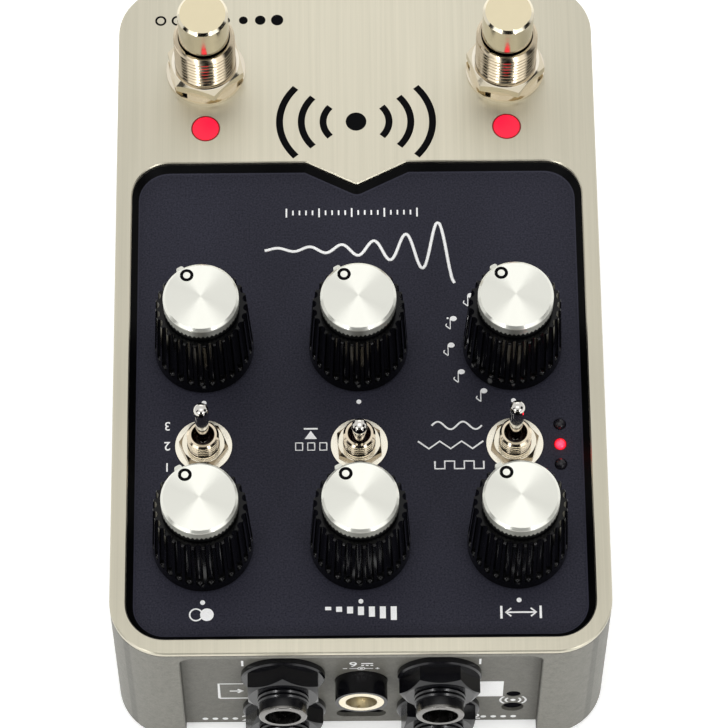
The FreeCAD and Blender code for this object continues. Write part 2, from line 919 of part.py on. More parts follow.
def footswitch_lock_washers():
    """Split spring washers, pressed flat: one over and one under the top of each switch."""
    inner = footswitch_bushing_radius + thread_gap
    washers = []
    for name, x in footswitch_places.items():
        for bottom in (plate_top + footswitch_washer_thickness, footswitch_body_top):
            ring = washer(lock_washer_radius, inner, bottom, lock_washer_thickness, 0, 0)
            half = lock_washer_split / 2
            top = bottom + lock_washer_thickness
            split = block(-half, half, 0, lock_washer_radius + overrun, bottom - overrun, top + overrun)
            split.rotate(Vector(0, 0, 0), Vector(0, 0, 1), lock_washer_turns[name])
            ring = ring.cut(split)
            ring.translate(Vector(x, footswitch_row, 0))
            washers.append(ring)
    return washers


def footswitch_nuts():
    """One nut over the faceplate and one inside the casing on each switch."""
    upper = plate_top + footswitch_washer_thickness + lock_washer_thickness
    lower = footswitch_body_top + lock_washer_thickness
    bore = footswitch_bushing_radius + thread_gap
    nuts = []
    for name, x in footswitch_places.items():
        for bottom in (upper, lower):
            nut = hex_nut(footswitch_nut_flats, bore, footswitch_nut_thickness)
            nut.rotate(Vector(0, 0, 0), Vector(0, 0, 1), footswitch_nut_turns[name])
            nut.translate(Vector(x, footswitch_row, bottom))
            nuts.append(nut)
    return nuts


def footswitch_plunger(x):
    """Chamfered cap, a neck, and a guide that runs in the bushing."""
    guide_top = plunger_foot - plunger_neck_height
    guide_foot = guide_top - plunger_guide_length
    plunger = revolved([
        (0, guide_foot, 0),
        (plunger_radius, guide_foot, 0),
        (plunger_radius, guide_top, 0),
        (plunger_neck_radius, guide_top, 0),
        (plunger_neck_radius, plunger_foot, 0),
        (plunger_radius - plunger_chamfer, plunger_foot, 0),
        (plunger_radius, plunger_foot + plunger_chamfer, 0),
        (plunger_radius, plunger_top - plunger_chamfer, 0),
        (plunger_radius - plunger_chamfer, plunger_top, 0),
        (0, plunger_top, 0),
    ])
    plunger.translate(Vector(x, footswitch_row, 0))
    return plunger


# Sockets

def jack_body(x, z, above_board):
    """Phone socket: a box on the socket board and a threaded nose through the panel."""
    half = jack_body_width / 2
    low = io_board_top if above_board else z - jack_body_half_height
    high = z + jack_body_half_height if above_board else io_board_height
    body = block(x - half, x + half, jack_bore_end - jack_end_wall, panel_back, low, high)
    thread = rear_rod(jack_thread_radius, panel_back - overrun, jack_thread_end, x, z)
    nose = rear_rod(jack_nose_radius, jack_thread_end - overrun, jack_mouth - jack_ferrule_thickness, x, z)
    bore = rear_rod(jack_bore_radius, jack_bore_end, jack_mouth + overrun, x, z)
    counterbore = jack_bore_radius + jack_ferrule_relief + jack_ferrule_wall + thread_gap
    start = jack_mouth - jack_ferrule_thickness - jack_ferrule_depth
    return body.fuse([thread, nose]).cut([bore, rear_rod(counterbore, start, jack_mouth + overrun, x, z)])


def jack_ferrules():
    """Flanged metal liners at the mouths of the four phone sockets."""
    ferrules = []
    inner = jack_bore_radius + jack_ferrule_relief
    depth = jack_ferrule_thickness + jack_ferrule_depth
    for x, z in jack_places.values():
        liner = revolved([
            (inner, 0, 0),
            (inner + jack_ferrule_wall, 0, 0),
            (inner + jack_ferrule_wall, jack_ferrule_depth, 0),
            (jack_nose_radius, jack_ferrule_depth, 0),
            (jack_nose_radius, depth, jack_ferrule_round),
            (inner, depth, 0),
        ])
        ferrules.append(facing_rear(liner, x, jack_mouth - depth, z))
    return ferrules


def jack_washers():
    washers = []
    bore = jack_thread_radius + thread_gap
    for x, z in jack_places.values():
        ring = revolved([
            (bore, 0, 0),
            (jack_washer_radius, 0, 0),
            (jack_washer_radius, jack_washer_thickness - jack_washer_chamfer, 0),
            (jack_washer_radius - jack_washer_chamfer, jack_washer_thickness, 0),
            (bore, jack_washer_thickness, 0),
        ])
        washers.append(facing_rear(ring, x, panel_face, z))
    return washers


def jack_nuts():
    nuts = []
    for name, (x, z) in jack_places.items():
        nut = hex_nut(jack_nut_flats, jack_thread_radius + thread_gap, jack_nut_thickness)
        nut.rotate(Vector(0, 0, 0), Vector(0, 0, 1), jack_nut_turns[name])
        nuts.append(facing_rear(nut, x, panel_face + jack_washer_thickness, z))
    return nuts


def dc_socket():
    """Barrel power socket: box on the socket board, round snout through the panel."""
    half = dc_body_width / 2
    snout_end = panel_face + dc_snout_reach
    body = block(-half, half, panel_back - dc_body_depth, panel_back, io_board_top, dc_height + half)
    body = body.fuse(rear_rod(dc_snout_radius, panel_back - overrun, snout_end, 0, dc_height))
    bore_start = snout_end - dc_sleeve_depth
    return body.cut(rear_rod(dc_sleeve_radius + thread_gap, bore_start, snout_end + overrun, 0, dc_height))


def dc_contacts():
    """Outer sleeve and centre pin of the power socket."""
    snout_end = panel_face + dc_snout_reach
    start = snout_end - dc_sleeve_depth
    sleeve = rear_rod(dc_sleeve_radius, start, snout_end, 0, dc_height)
    sleeve = sleeve.cut(rear_rod(dc_sleeve_bore, start - overrun, snout_end + overrun, 0, dc_height))
    pin = revolved([
        (0, 0, 0),
        (dc_pin_radius, 0, 0),
        (dc_pin_radius, dc_sleeve_depth - dc_pin_setback, dc_pin_round),
        (0, dc_sleeve_depth - dc_pin_setback, 0),
    ])
    return [sleeve, facing_rear(pin, 0, start, dc_height)]


def usb_socket():
    """Small data socket: a folded metal shell round a flat tongue."""
    mouth = panel_face - usb_setback
    back = mouth - usb_depth
    shell = usb_slot(0, back, mouth).cut(usb_slot(-usb_shell_wall, back + usb_back_wall, mouth + overrun))
    half = usb_tongue_width / 2
    low = usb_height - usb_tongue_thickness / 2
    tongue = block(-half, half, back, mouth - usb_tongue_setback, low, low + usb_tongue_thickness)
    return shell.fuse(tongue)


def pair_switch():
    """Small push switch on the side board, behind the pairing button."""
    half = pair_switch_width / 2
    x = -pair_offset
    z = pair_button_height
    front = io_board_wing_rear
    rear = front + pair_switch_depth
    body = block(x - half, x + half, front, rear, z - half, z + half)
    well = rear_rod(pair_stem_radius + running_gap, rear - pair_stem_sink - overrun, rear + overrun, x, z)
    return body.cut(well)


def pair_button():
    """Button head in the panel's hole, on a stem that runs in the switch."""
    start = io_board_wing_rear + pair_switch_depth - pair_stem_sink
    length = panel_face - pair_button_setback - start
    button = revolved([
        (0, 0, 0),
        (pair_stem_radius, 0, 0),
        (pair_stem_radius, length - pair_button_head, 0),
        (pair_button_radius, length - pair_button_head, 0),
        (pair_button_radius, length - pair_button_chamfer, 0),
        (pair_button_radius - pair_button_chamfer, length, 0),
        (0, length, 0),
    ])
    return facing_rear(button, -pair_offset, start, pair_button_height)


# Circuit boards

def main_board():
    """Board under the deck, slotted round the upper sockets, with its processor and radio module."""
    half = case_width / 2 - case_wall - board_margin
    front = footswitch_body_back + main_board_front_gap
    narrow = case_width / 2 - pillar_inset - pillar_radius - board_margin / 2
    wide_rear = case_length / 2 - pillar_inset - pillar_radius - board_margin / 2
    rear = panel_back - board_margin / 2
    outline = rounded_outline([
        (-half, front, board_corner),
        (half, front, board_corner),
        (half, wide_rear, board_notch_corner),
        (narrow, wide_rear, board_notch_corner),
        (narrow, rear, board_notch_corner),
        (-narrow, rear, board_notch_corner),
        (-narrow, wide_rear, board_notch_corner),
        (-half, wide_rear, board_notch_corner),
    ])
    board = prism(outline, board_under, board_thickness)
    cutters = []
    slot_end = jack_bore_end - jack_end_wall - board_margin / 2
    slot_half = jack_body_width / 2 + board_slot_gap
    bottom = board_under - overrun
    top = board_top + overrun
    for x in (-jack_offset, jack_offset):
        cutters.append(block(x - slot_half, x + slot_half, slot_end, rear + overrun, bottom, top))
    dc_front = panel_back - dc_body_depth - hole_gap
    cutters.append(block(-jack_offset, jack_offset, dc_front, rear + overrun, bottom, top))
    for x, y in front_boss_places() + rear_boss_places():
        cutters.append(rod(board_screw_radius + hole_gap, bottom, top, x, y))
    board = board.cut(cutters)
    chip = block(-chip_width / 2, chip_width / 2, -chip_width / 2, chip_width / 2,
                 board_under - chip_thickness, board_under)
    shield = block(knob_pitch - shield_width, knob_pitch, -shield_length / 2, shield_length / 2,
                   board_under - shield_thickness, board_under)
    return board.fuse([chip, shield])


def io_board():
    """Socket board between the two rows of phone sockets."""
    half = case_width / 2 - case_wall - board_margin
    narrow = jack_offset + jack_body_width / 2 + board_margin / 2
    rear = panel_back - board_margin / 2
    outline = rounded_outline([
        (-half, io_board_front, board_corner),
        (half, io_board_front, board_corner),
        (half, io_board_wing_rear - board_thickness, board_notch_corner),
        (narrow, io_board_wing_rear - board_thickness, 0),
        (narrow, rear, board_notch_corner),
        (-narrow, rear, board_notch_corner),
        (-narrow, io_board_wing_rear - board_thickness, 0),
        (-half, io_board_wing_rear - board_thickness, board_notch_corner),
    ])
    board = prism(outline, io_board_height, board_thickness)
    holes = []
    bottom = io_board_height - overrun
    top = io_board_top + overrun
    for x, y in rear_boss_places():
        holes.append(rod(board_screw_radius + hole_gap, bottom, top, x, y))
    return board.cut(holes)


def riser_boards():
    """Two small boards on the socket board: one carries the data socket, one the pairing switch."""
    width = 2 * jack_offset - jack_body_width - 2 * riser_gap
    low = usb_height + usb_thickness / 2
    rear = panel_back - board_margin / 2
    flat = block(-width / 2, width / 2, rear - riser_depth, rear, low, low + riser_thickness)
    header_front = rear - riser_depth
    header_half = width / 2 - header_inset
    header = block(-header_half, header_half, header_front, header_front + header_width,
                   low + riser_thickness, io_board_height)
    half = pair_switch_width / 2 + board_margin / 2
    low = base_top + pair_board_foot - board_margin
    high = io_board_top + board_margin
    upright = block(-pair_offset - half, -pair_offset + half, io_board_wing_rear - board_thickness,
                    io_board_wing_rear, low, high)
    return [flat.fuse(header), upright]


def board_standoffs():
    """Hexagonal spacers that hang the socket board from the rear bosses."""
    spacers = []
    for x, y in rear_boss_places():
        spacer = hexagon(standoff_flats, board_under - io_board_top)
        spacer.translate(Vector(x, y, io_board_top))
        stud = rod(board_screw_radius, board_under - overrun, board_top + board_screw_bite - tip_gap, x, y)
        spacer = spacer.fuse(stud)
        hole = rod(board_screw_radius, io_board_top - overrun, io_board_top + board_screw_bite, x, y)
        spacers.append(spacer.cut(hole))
    return spacers


def board_screw(x, y, under):
    """Screw whose head bears on the underside of a board."""
    foot = under - board_screw_head_height
    tip = under + board_thickness + board_screw_bite - tip_gap
    screw = revolved([
        (0, foot, 0),
        (board_screw_head_radius - board_screw_head_chamfer, foot, 0),
        (board_screw_head_radius, foot + board_screw_head_chamfer, 0),
        (board_screw_head_radius, under, 0),
        (board_screw_radius, under, 0),
        (board_screw_radius, tip, 0),
        (0, tip, 0),
    ])
    screw.translate(Vector(x, y, 0))
    return screw


def board_screws():
    screws = [board_screw(x, y, board_under) for x, y in front_boss_places()]
    screws += [board_screw(x, y, io_board_height) for x, y in rear_boss_places()]
    return screws


# The whole pedal

os.makedirs("parts", exist_ok=True)

save("enclosure", enclosure())
save("faceplate", faceplate())
save("control_deck", control_deck())
save("base_plate", base_plate())
save("base_screws", base_screws())
save("rubber_feet", rubber_feet())

turned_knob = knob()
turned_cap = knob_cap()
turned_shaft = pot_shaft()
for place, (knob_x, knob_y) in knob_places.items():
    for node, piece in (("knob", turned_knob), ("knob_cap", turned_cap), ("pot_shaft", turned_shaft)):
        placed_piece = piece.copy()
        placed_piece.rotate(Vector(0, 0, 0), Vector(0, 0, 1), knob_rest_angle)
        placed_piece.translate(Vector(knob_x, knob_y, 0))
        save(node + "_" + place, placed_piece)
save("pot_bodies", pot_bodies())
save("pot_washers", pot_washers())
save("pot_nuts", pot_nuts())

save("toggle_bodies", toggle_bodies())
save("toggle_washers", toggle_washers())
save("toggle_nuts", toggle_nuts())
for place, toggle_x in toggle_places.items():
    save("toggle_lever_" + place, toggle_lever(toggle_x, lever_rest_lean if place == "middle" else 0.0))

save("status_lenses", status_lenses())
save("mode_lamps", mode_lamps())
save("pair_lamp", pair_lamp())

save("footswitch_bodies", footswitch_bodies())
save("footswitch_bushings", footswitch_bushings())
save("footswitch_washers", footswitch_washers())
save("footswitch_lock_washers", footswitch_lock_washers())
save("footswitch_nuts", footswitch_nuts())
for place, switch_x in footswitch_places.items():
    save("footswitch_plunger_" + place, footswitch_plunger(switch_x))

for place, (jack_x, jack_z) in jack_places.items():
    save("jack_" + place, jack_body(jack_x, jack_z, jack_z > io_board_height))
save("jack_ferrules", jack_ferrules())
save("jack_washers", jack_washers())
save("jack_nuts", jack_nuts())
save("dc_socket", dc_socket())
save("dc_contacts", dc_contacts())
save("usb_socket", usb_socket())
save("pair_switch", pair_switch())
save("pair_button", pair_button())

save("main_board", main_board())
save("io_board", io_board())
save("riser_boards", riser_boards())
save("board_standoffs", board_standoffs())
save("board_screws", board_screws())
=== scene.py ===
import math

import bmesh
import bpy
from mathutils import Matrix, Vector


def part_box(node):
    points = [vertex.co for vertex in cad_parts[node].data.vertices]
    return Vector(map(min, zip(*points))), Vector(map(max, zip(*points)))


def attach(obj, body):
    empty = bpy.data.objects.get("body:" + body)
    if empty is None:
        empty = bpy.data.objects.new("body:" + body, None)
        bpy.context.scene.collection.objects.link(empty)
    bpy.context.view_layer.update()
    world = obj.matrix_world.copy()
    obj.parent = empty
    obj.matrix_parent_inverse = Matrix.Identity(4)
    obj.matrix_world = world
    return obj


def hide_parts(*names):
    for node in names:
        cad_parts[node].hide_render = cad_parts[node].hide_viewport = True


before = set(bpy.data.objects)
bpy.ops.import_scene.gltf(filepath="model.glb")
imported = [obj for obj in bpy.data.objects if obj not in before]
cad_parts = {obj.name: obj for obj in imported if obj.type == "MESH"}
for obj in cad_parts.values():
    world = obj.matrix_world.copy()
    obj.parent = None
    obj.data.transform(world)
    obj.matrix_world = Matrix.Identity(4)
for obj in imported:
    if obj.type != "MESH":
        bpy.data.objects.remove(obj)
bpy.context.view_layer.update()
mm = 0.001


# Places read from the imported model, in metres

def middle(node):
    low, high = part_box(node)
    return (low + high) / 2


knobNames = [name[len("knob_cap_"):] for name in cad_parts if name.startswith("knob_cap_")]
switchSides = ("left", "right")
toggleSides = ("left", "middle", "right")
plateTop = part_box("faceplate")[1].z
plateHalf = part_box("faceplate")[1].x
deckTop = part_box("toggle_washers")[0].z
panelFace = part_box("jack_washers")[0].y
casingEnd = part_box("enclosure")[1]
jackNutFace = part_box("jack_nuts")[1].y
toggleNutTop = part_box("toggle_nuts")[1].z
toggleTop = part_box("toggle_bodies")[1].z


# Small tools

def toLinear(hexText):  # sRGB hex colour to the linear values that sockets hold
    channels = [int(hexText[i:i + 2], 16) / 255 for i in (1, 3, 5)]
    return [c / 12.92 if c <= 0.04045 else ((c + 0.055) / 1.055) ** 2.4 for c in channels] + [1.0]


def feed(material, source, node, socket):  # source is a node, or one of its outputs
    if isinstance(source, bpy.types.Node):
        source = next(output for output in source.outputs if output.enabled)
    material.node_tree.links.new(source, node.inputs[socket])


def addNode(material, kind, settings=None, links=None):  # one node with its settings and what feeds it
    node = material.node_tree.nodes.new("ShaderNode" + kind)
    for key, value in (settings or {}).items():
        if isinstance(key, int) or key in node.inputs:
            node.inputs[key].default_value = value
        else:
            setattr(node, key, value)
    for key, source in (links or {}).items():
        feed(material, source, node, key)
    return node


def newMaterial(name, sockets):  # the material, its shader, and its pieces' own coordinates
    material = bpy.data.materials.new(name)
    material.use_nodes = True
    shader = material.node_tree.nodes["Principled BSDF"]
    for socket, value in sockets.items():
        shader.inputs[socket].default_value = value
    return material, shader, addNode(material, "TexCoord").outputs["Object"]


def span(low, high, toLow=0.0, toHigh=1.0):  # a range, and the range that it turns into
    return {"From Min": low, "From Max": high, "To Min": toLow, "To Max": toHigh}


def dress(material, nodes):  # finish CAD nodes with a material
    for name in nodes:
        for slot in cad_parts[name].material_slots:
            slot.material = material


def finishPiece(name, mesh, material, body):
    piece = bpy.data.objects.new(name, mesh)
    bpy.context.scene.collection.objects.link(piece)
    mesh.materials.clear()
    mesh.materials.append(material)
    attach(piece, body)
    return piece


def meshFrom(bm, name, smoothAngle=None):  # a bmesh into a mesh, doubles merged and faces outwards
    bmesh.ops.remove_doubles(bm, verts=bm.verts, dist=0.0005 * mm)
    bmesh.ops.recalc_face_normals(bm, faces=bm.faces)
    mesh = bpy.data.meshes.new(name)
    bm.to_mesh(mesh)
    bm.free()
    if smoothAngle is not None:
        mesh.polygons.foreach_set("use_smooth", [True] * len(mesh.polygons))
        mesh.set_sharp_from_angle(angle=math.radians(smoothAngle))
    return mesh


def addProfile(bm, points):  # an open run of vertices joined by edges, in the XZ plane
    verts = [bm.verts.new((x, 0, z)) for x, z in points]
    return verts + [bm.edges.new(pair) for pair in zip(verts, verts[1:])]


# Materials

colourA, colourB = 6, 7  # the colour sockets of a Mix node
mostNoise = (0.3, 0.7)  # nearly all of a noise pattern lies between these

castingLook = {
    "dark": "#6d6c64", "pale": "#807e76", "roughness": 0.5, "level": 0.3,
    "grit": 0.36 * mm, "mottle": 1.3 * mm, "height": 0.05 * mm,  # real grit is finer, and wouldn't show
    "gritShare": 2.0, "spread": (1.1, 1.9), "strength": 0.7,
    "panel": 0.74, "step": 0.5,  # shares of the light left on the sunk panel and on the walls round it
    "ear": 12.75 * mm, "skin": 1.0 * mm, "fade": 0.3 * mm, "edge": 0.05 * mm,  # where those shares end
}


def powderCoatedCasting():  # die-cast aluminium, powder coated: dull grey orange peel, with painted shade on the sunk panel and on the walls round it
    material, shader, place = newMaterial("powderCoatedCasting", {
        "Roughness": castingLook["roughness"], "Specular IOR Level": castingLook["level"],
    })
    grit = addNode(material, "TexNoise", {
        "Scale": 1 / castingLook["grit"], "Detail": 3.0, "Roughness": 0.7,
    }, {"Vector": place})
    mottle = addNode(material, "TexNoise", {"Scale": 1 / castingLook["mottle"]}, {"Vector": place})
    both = addNode(material, "Math", {"operation": "MULTIPLY_ADD", 1: castingLook["gritShare"]},
                   {0: grit, 2: mottle})
    spread = addNode(material, "MapRange", span(*castingLook["spread"]), {0: both})
    coat = addNode(material, "Mix", {
        "data_type": "RGBA", colourA: toLinear(castingLook["dark"]), colourB: toLinear(castingLook["pale"]),
    }, {0: spread})

    x, y = addNode(material, "SeparateXYZ", {}, {0: place}).outputs[:2]
    edge, fade = castingLook["edge"], castingLook["fade"]
    skin = panelFace - castingLook["skin"]
    # painted shade: the sunk panel and the walls that step in to it are darker than the rest of the casting
    sunkShade = addNode(material, "MapRange", span(panelFace, panelFace + fade, castingLook["panel"]), {0: y})
    main = addNode(material, "MapRange", span(skin, skin + 2 * edge, 1.0, 0.0), {0: y})
    depth = addNode(material, "Math", {"operation": "MAXIMUM"}, {0: sunkShade, 1: main})

    ear = casingEnd.x - castingLook["ear"]  # the walls that step in to the panel lie in shade
    aside = addNode(material, "Math", {"operation": "ABSOLUTE"}, {0: x})
    outer = addNode(material, "MapRange", span(ear, ear + 0.4 * edge), {0: aside})
    panel = addNode(material, "MapRange", span(panelFace + edge, panelFace + 2 * edge, 1.0, 0.0), {0: y})
    rear = addNode(material, "MapRange", span(casingEnd.y - 2 * edge, casingEnd.y - edge), {0: y})
    flat = addNode(material, "Math", {"operation": "MAXIMUM"}, {0: outer, 1: panel})
    lit = addNode(material, "Math", {"operation": "MAXIMUM"}, {0: flat, 1: rear})
    step = addNode(material, "MapRange", span(0.0, 1.0, castingLook["step"]), {0: lit})
    shade = addNode(material, "Math", {"operation": "MINIMUM"}, {0: depth, 1: step})
    shadedCoat = addNode(material, "Mix", {"data_type": "RGBA", "blend_type": "MULTIPLY", 0: 1.0},
                    {colourA: coat, colourB: shade})
    feed(material, shadedCoat, shader, "Base Color")
    bump = addNode(material, "Bump", {
        "Distance": castingLook["height"], "Strength": castingLook["strength"],
    }, {"Height": grit})
    feed(material, bump, shader, "Normal")
    return material


plateLook = {
    "dark": "#cbc6b3", "pale": "#d7d1be", "roughness": (0.3, 0.42), "anisotropic": 0.5,
    "line": 0.16 * mm, "length": 34 * mm, "height": 0.012 * mm,  # real lines are finer, and wouldn't show
    "band": 0.96 * mm, "bandLength": 68 * mm, "spread": (0.65, 1.35), "lineSpread": (0.25, 0.75),
    "strength": 0.6,
    # painted highlight: the plate's colour is brightest in its middle and painted darker towards its sides
    "middle": 0.4, "side": 0.84,  # bright for this share of the half width, then duller to the sides
}


def brushedNickel():  # brushed steel sheet, nickel plated: fine lines from front to rear, and a warm sheen
    material, shader, place = newMaterial("brushedNickel", {
        "Metallic": 1.0, "Anisotropic": plateLook["anisotropic"],
    })
    across = addNode(material, "Tangent", {"direction_type": "RADIAL", "axis": "Y"})
    feed(material, across, shader, "Tangent")
    line, length = plateLook["line"], plateLook["length"]
    fine = addNode(material, "Mapping", {"vector_type": "TEXTURE", "Scale": (line, length, length)},
                   {0: place})
    lines = addNode(material, "TexNoise", {"Scale": 1.0, "Detail": 3.0, "Roughness": 0.65}, {"Vector": fine})
    broad = addNode(material, "Mapping", {
        "vector_type": "TEXTURE", "Scale": (plateLook["band"], plateLook["bandLength"], 1),
    }, {0: place})
    bands = addNode(material, "TexNoise", {"Scale": 1.0}, {"Vector": broad})
    both = addNode(material, "Math", {"operation": "ADD"}, {0: lines, 1: bands})
    spread = addNode(material, "MapRange", span(*plateLook["spread"]), {0: both})
    ground = addNode(material, "Mix", {
        "data_type": "RGBA", colourA: toLinear(plateLook["dark"]), colourB: toLinear(plateLook["pale"]),
    }, {0: spread})
    # painted highlight: the colour is dimmed from the middle out to the sides
    x = addNode(material, "SeparateXYZ", {}, {0: place}).outputs[0]
    aside = addNode(material, "Math", {"operation": "ABSOLUTE"}, {0: x})
    bright = plateLook["middle"] * plateHalf
    paintedFalloff = addNode(material, "MapRange", span(bright, plateHalf, 1.0, plateLook["side"]), {0: aside})
    plated = addNode(material, "Mix", {"data_type": "RGBA", "blend_type": "MULTIPLY", 0: 1.0},
                     {colourA: ground, colourB: paintedFalloff})
    feed(material, plated, shader, "Base Color")
    gloss = addNode(material, "MapRange", span(*plateLook["lineSpread"], *plateLook["roughness"]), {0: lines})
    feed(material, gloss, shader, "Roughness")
    bump = addNode(material, "Bump", {
        "Distance": plateLook["height"], "Strength": plateLook["strength"],
    }, {"Height": lines})
    feed(material, bump, shader, "Normal")
    return material


# the foot colour is a painted highlight along the foot of the tray's wall; the wall colour paints that wall
# near black as a dark reflection
deckLook = {
    "dark": "#22222b", "pale": "#353540", "foot": "#3c3c48", "wall": "#030304", "roughness": 0.45,
    "level": 0.07, "grit": 0.34 * mm, "height": 0.035 * mm, "strength": 0.6,
    "footRise": (0.032 * mm, 0.16 * mm), "wallRise": (0.16 * mm, 0.24 * mm),  # above the flat of the deck
}


def deckEnamel():  # baked enamel on a blasted tray: blue-black and satin; its sloping wall painted near black as a dark reflection, with a painted highlight along the wall's foot
    material, shader, place = newMaterial("deckPaint", {
        "Roughness": deckLook["roughness"], "Specular IOR Level": deckLook["level"],
    })
    grit = addNode(material, "TexNoise", {"Scale": 1 / deckLook["grit"], "Roughness": 0.6}, {"Vector": place})
    spread = addNode(material, "MapRange", span(*mostNoise), {0: grit})
    ground = addNode(material, "Mix", {
        "data_type": "RGBA", colourA: toLinear(deckLook["dark"]), colourB: toLinear(deckLook["pale"]),
    }, {0: spread})
    height = addNode(material, "SeparateXYZ", {}, {0: place}).outputs[2]
    # painted highlight at the wall's foot, then the wall painted near black as a dark reflection
    foot, wall = (addNode(material, "MapRange", span(deckTop + low, deckTop + high), {0: height})
                  for low, high in (deckLook["footRise"], deckLook["wallRise"]))
    footHighlight = addNode(material, "Mix", {"data_type": "RGBA", colourB: toLinear(deckLook["foot"])},
                    {0: foot, colourA: ground})
    painted = addNode(material, "Mix", {"data_type": "RGBA", colourB: toLinear(deckLook["wall"])},
                      {0: wall, colourA: footHighlight})
    feed(material, painted, shader, "Base Color")
    bump = addNode(material, "Bump", {
        "Distance": deckLook["height"], "Strength": deckLook["strength"],
    }, {"Height": grit})
    feed(material, bump, shader, "Normal")
    return material


threadRelief = {"jack": 0.9 * mm, "toggle": 0.8 * mm, "depth": 0.4, "edge": 0.01 * mm}  # coarse, to show


def threadOver(material, place, thread, under):  # a screw thread's ridges, laid over finer relief
    pitch, edge = threadRelief[thread["kind"]], threadRelief["edge"]
    low, high = thread["levels"]
    along = addNode(material, "SeparateXYZ", {}, {0: place}).outputs[thread["axis"]]
    wave = addNode(material, "Math", {"operation": "PINGPONG", 1: pitch / 2}, {0: along})
    ridge = addNode(material, "Math", {"operation": "DIVIDE", 1: pitch / 2}, {0: wave})
    above = addNode(material, "MapRange", span(low, low + edge), {0: along})
    below = addNode(material, "MapRange", span(high - edge, high, 1.0, 0.0), {0: along})
    within = addNode(material, "Math", {"operation": "MULTIPLY"}, {0: above, 1: below})
    cut = addNode(material, "Math", {"operation": "MULTIPLY"}, {0: ridge, 1: within})
    return addNode(material, "Bump", {"Distance": threadRelief["depth"] * pitch, "Strength": 1.0},
                   {"Height": cut, "Normal": under})


plastics = {  # colour, roughness, and what differs from a plain moulding; coatings are made alike
    "knobPhenolic": {  # pressed phenolic: jet black with a hard gloss
        "colour": "#020203", "roughness": 0.14, "level": 0.24,
        "nodes": ["knob_" + name for name in knobNames]},
    "socketNylon": {  # moulded nylon: dark, half gloss
        "colour": "#0c0c10", "roughness": 0.22, "nodes": ["jack_washers", "jack_nuts", "dc_socket"]},
    "threadedNylon": {  # the same, with its thread
        "colour": "#0c0c10", "roughness": 0.22,
        "thread": {"kind": "jack", "axis": 1, "levels": (jackNutFace, jackNutFace + 1.7 * mm)},
        "nodes": ["jack_output_upper", "jack_output_lower", "jack_input_upper", "jack_input_lower"]},
    "buttonPlastic": {  # sparked ABS: black without gloss
        "colour": "#131316", "roughness": 0.4, "level": 0.0, "nodes": ["pair_button"]},
    "switchPlastic": {  # moulded polyester: blue, satin
        "colour": "#16355e", "roughness": 0.45, "nodes": ["footswitch_bodies", "pair_switch"]},
    "footRubber": {  # moulded rubber: near black, dull and grainy
        "colour": "#141414", "roughness": 0.75, "grit": 0.8 * mm, "height": 0.03 * mm,
        "nodes": ["rubber_feet"]},
    "boardSolderMask": {  # lacquered glass board: deep green, satin
        "colour": "#15402a", "roughness": 0.4, "nodes": ["main_board", "io_board", "riser_boards"]},
    "smokedAcrylic": {  # moulded acrylic, unlit: smoky, clear gloss
        "colour": "#19171c", "roughness": 0.25, "level": 0.3, "nodes": ["mode_lamps"]},
    "windowAcrylic": {  # the same, flush in the panel: a black spot
        "colour": "#0f0f12", "roughness": 0.18, "level": 0.0, "nodes": ["pair_lamp"]},
    "slotShadeSteel": {  # steel shell, painted near black without sheen as the shade inside its slot
        "colour": "#141416", "roughness": 0.4, "level": 0.0, "nodes": ["usb_socket"]},
    "baseCoat": {  # powder coat on steel sheet: charcoal, matt
        "colour": "#1a1a1c", "roughness": 0.5, "grit": 0.4 * mm, "height": 0.02 * mm,
        "nodes": ["base_plate"]},
}
bloomLook = {
    "grit": 0.5 * mm, "height": 0.006 * mm,  # of a moulding that names none of its own
    "strength": 0.5, "gloss": (0.85, 1.2),
}


def mouldedPlastic(name, look):  # one even colour with a faint bloom in its gloss
    roughness = look["roughness"]
    material, shader, place = newMaterial(name, {
        "Base Color": toLinear(look["colour"]), "Specular IOR Level": look.get("level", 0.5),
    })
    grit = look.get("grit", bloomLook["grit"])
    bloom = addNode(material, "TexNoise", {"Scale": 1 / grit}, {"Vector": place})
    low, high = (roughness * share for share in bloomLook["gloss"])
    gloss = addNode(material, "MapRange", span(*mostNoise, low, high), {0: bloom})
    feed(material, gloss, shader, "Roughness")
    bump = addNode(material, "Bump", {
        "Distance": look.get("height", bloomLook["height"]), "Strength": bloomLook["strength"],
    }, {"Height": bloom})
    if "thread" in look:
        bump = threadOver(material, place, look["thread"], bump)
    feed(material, bump, shader, "Normal")
    return material


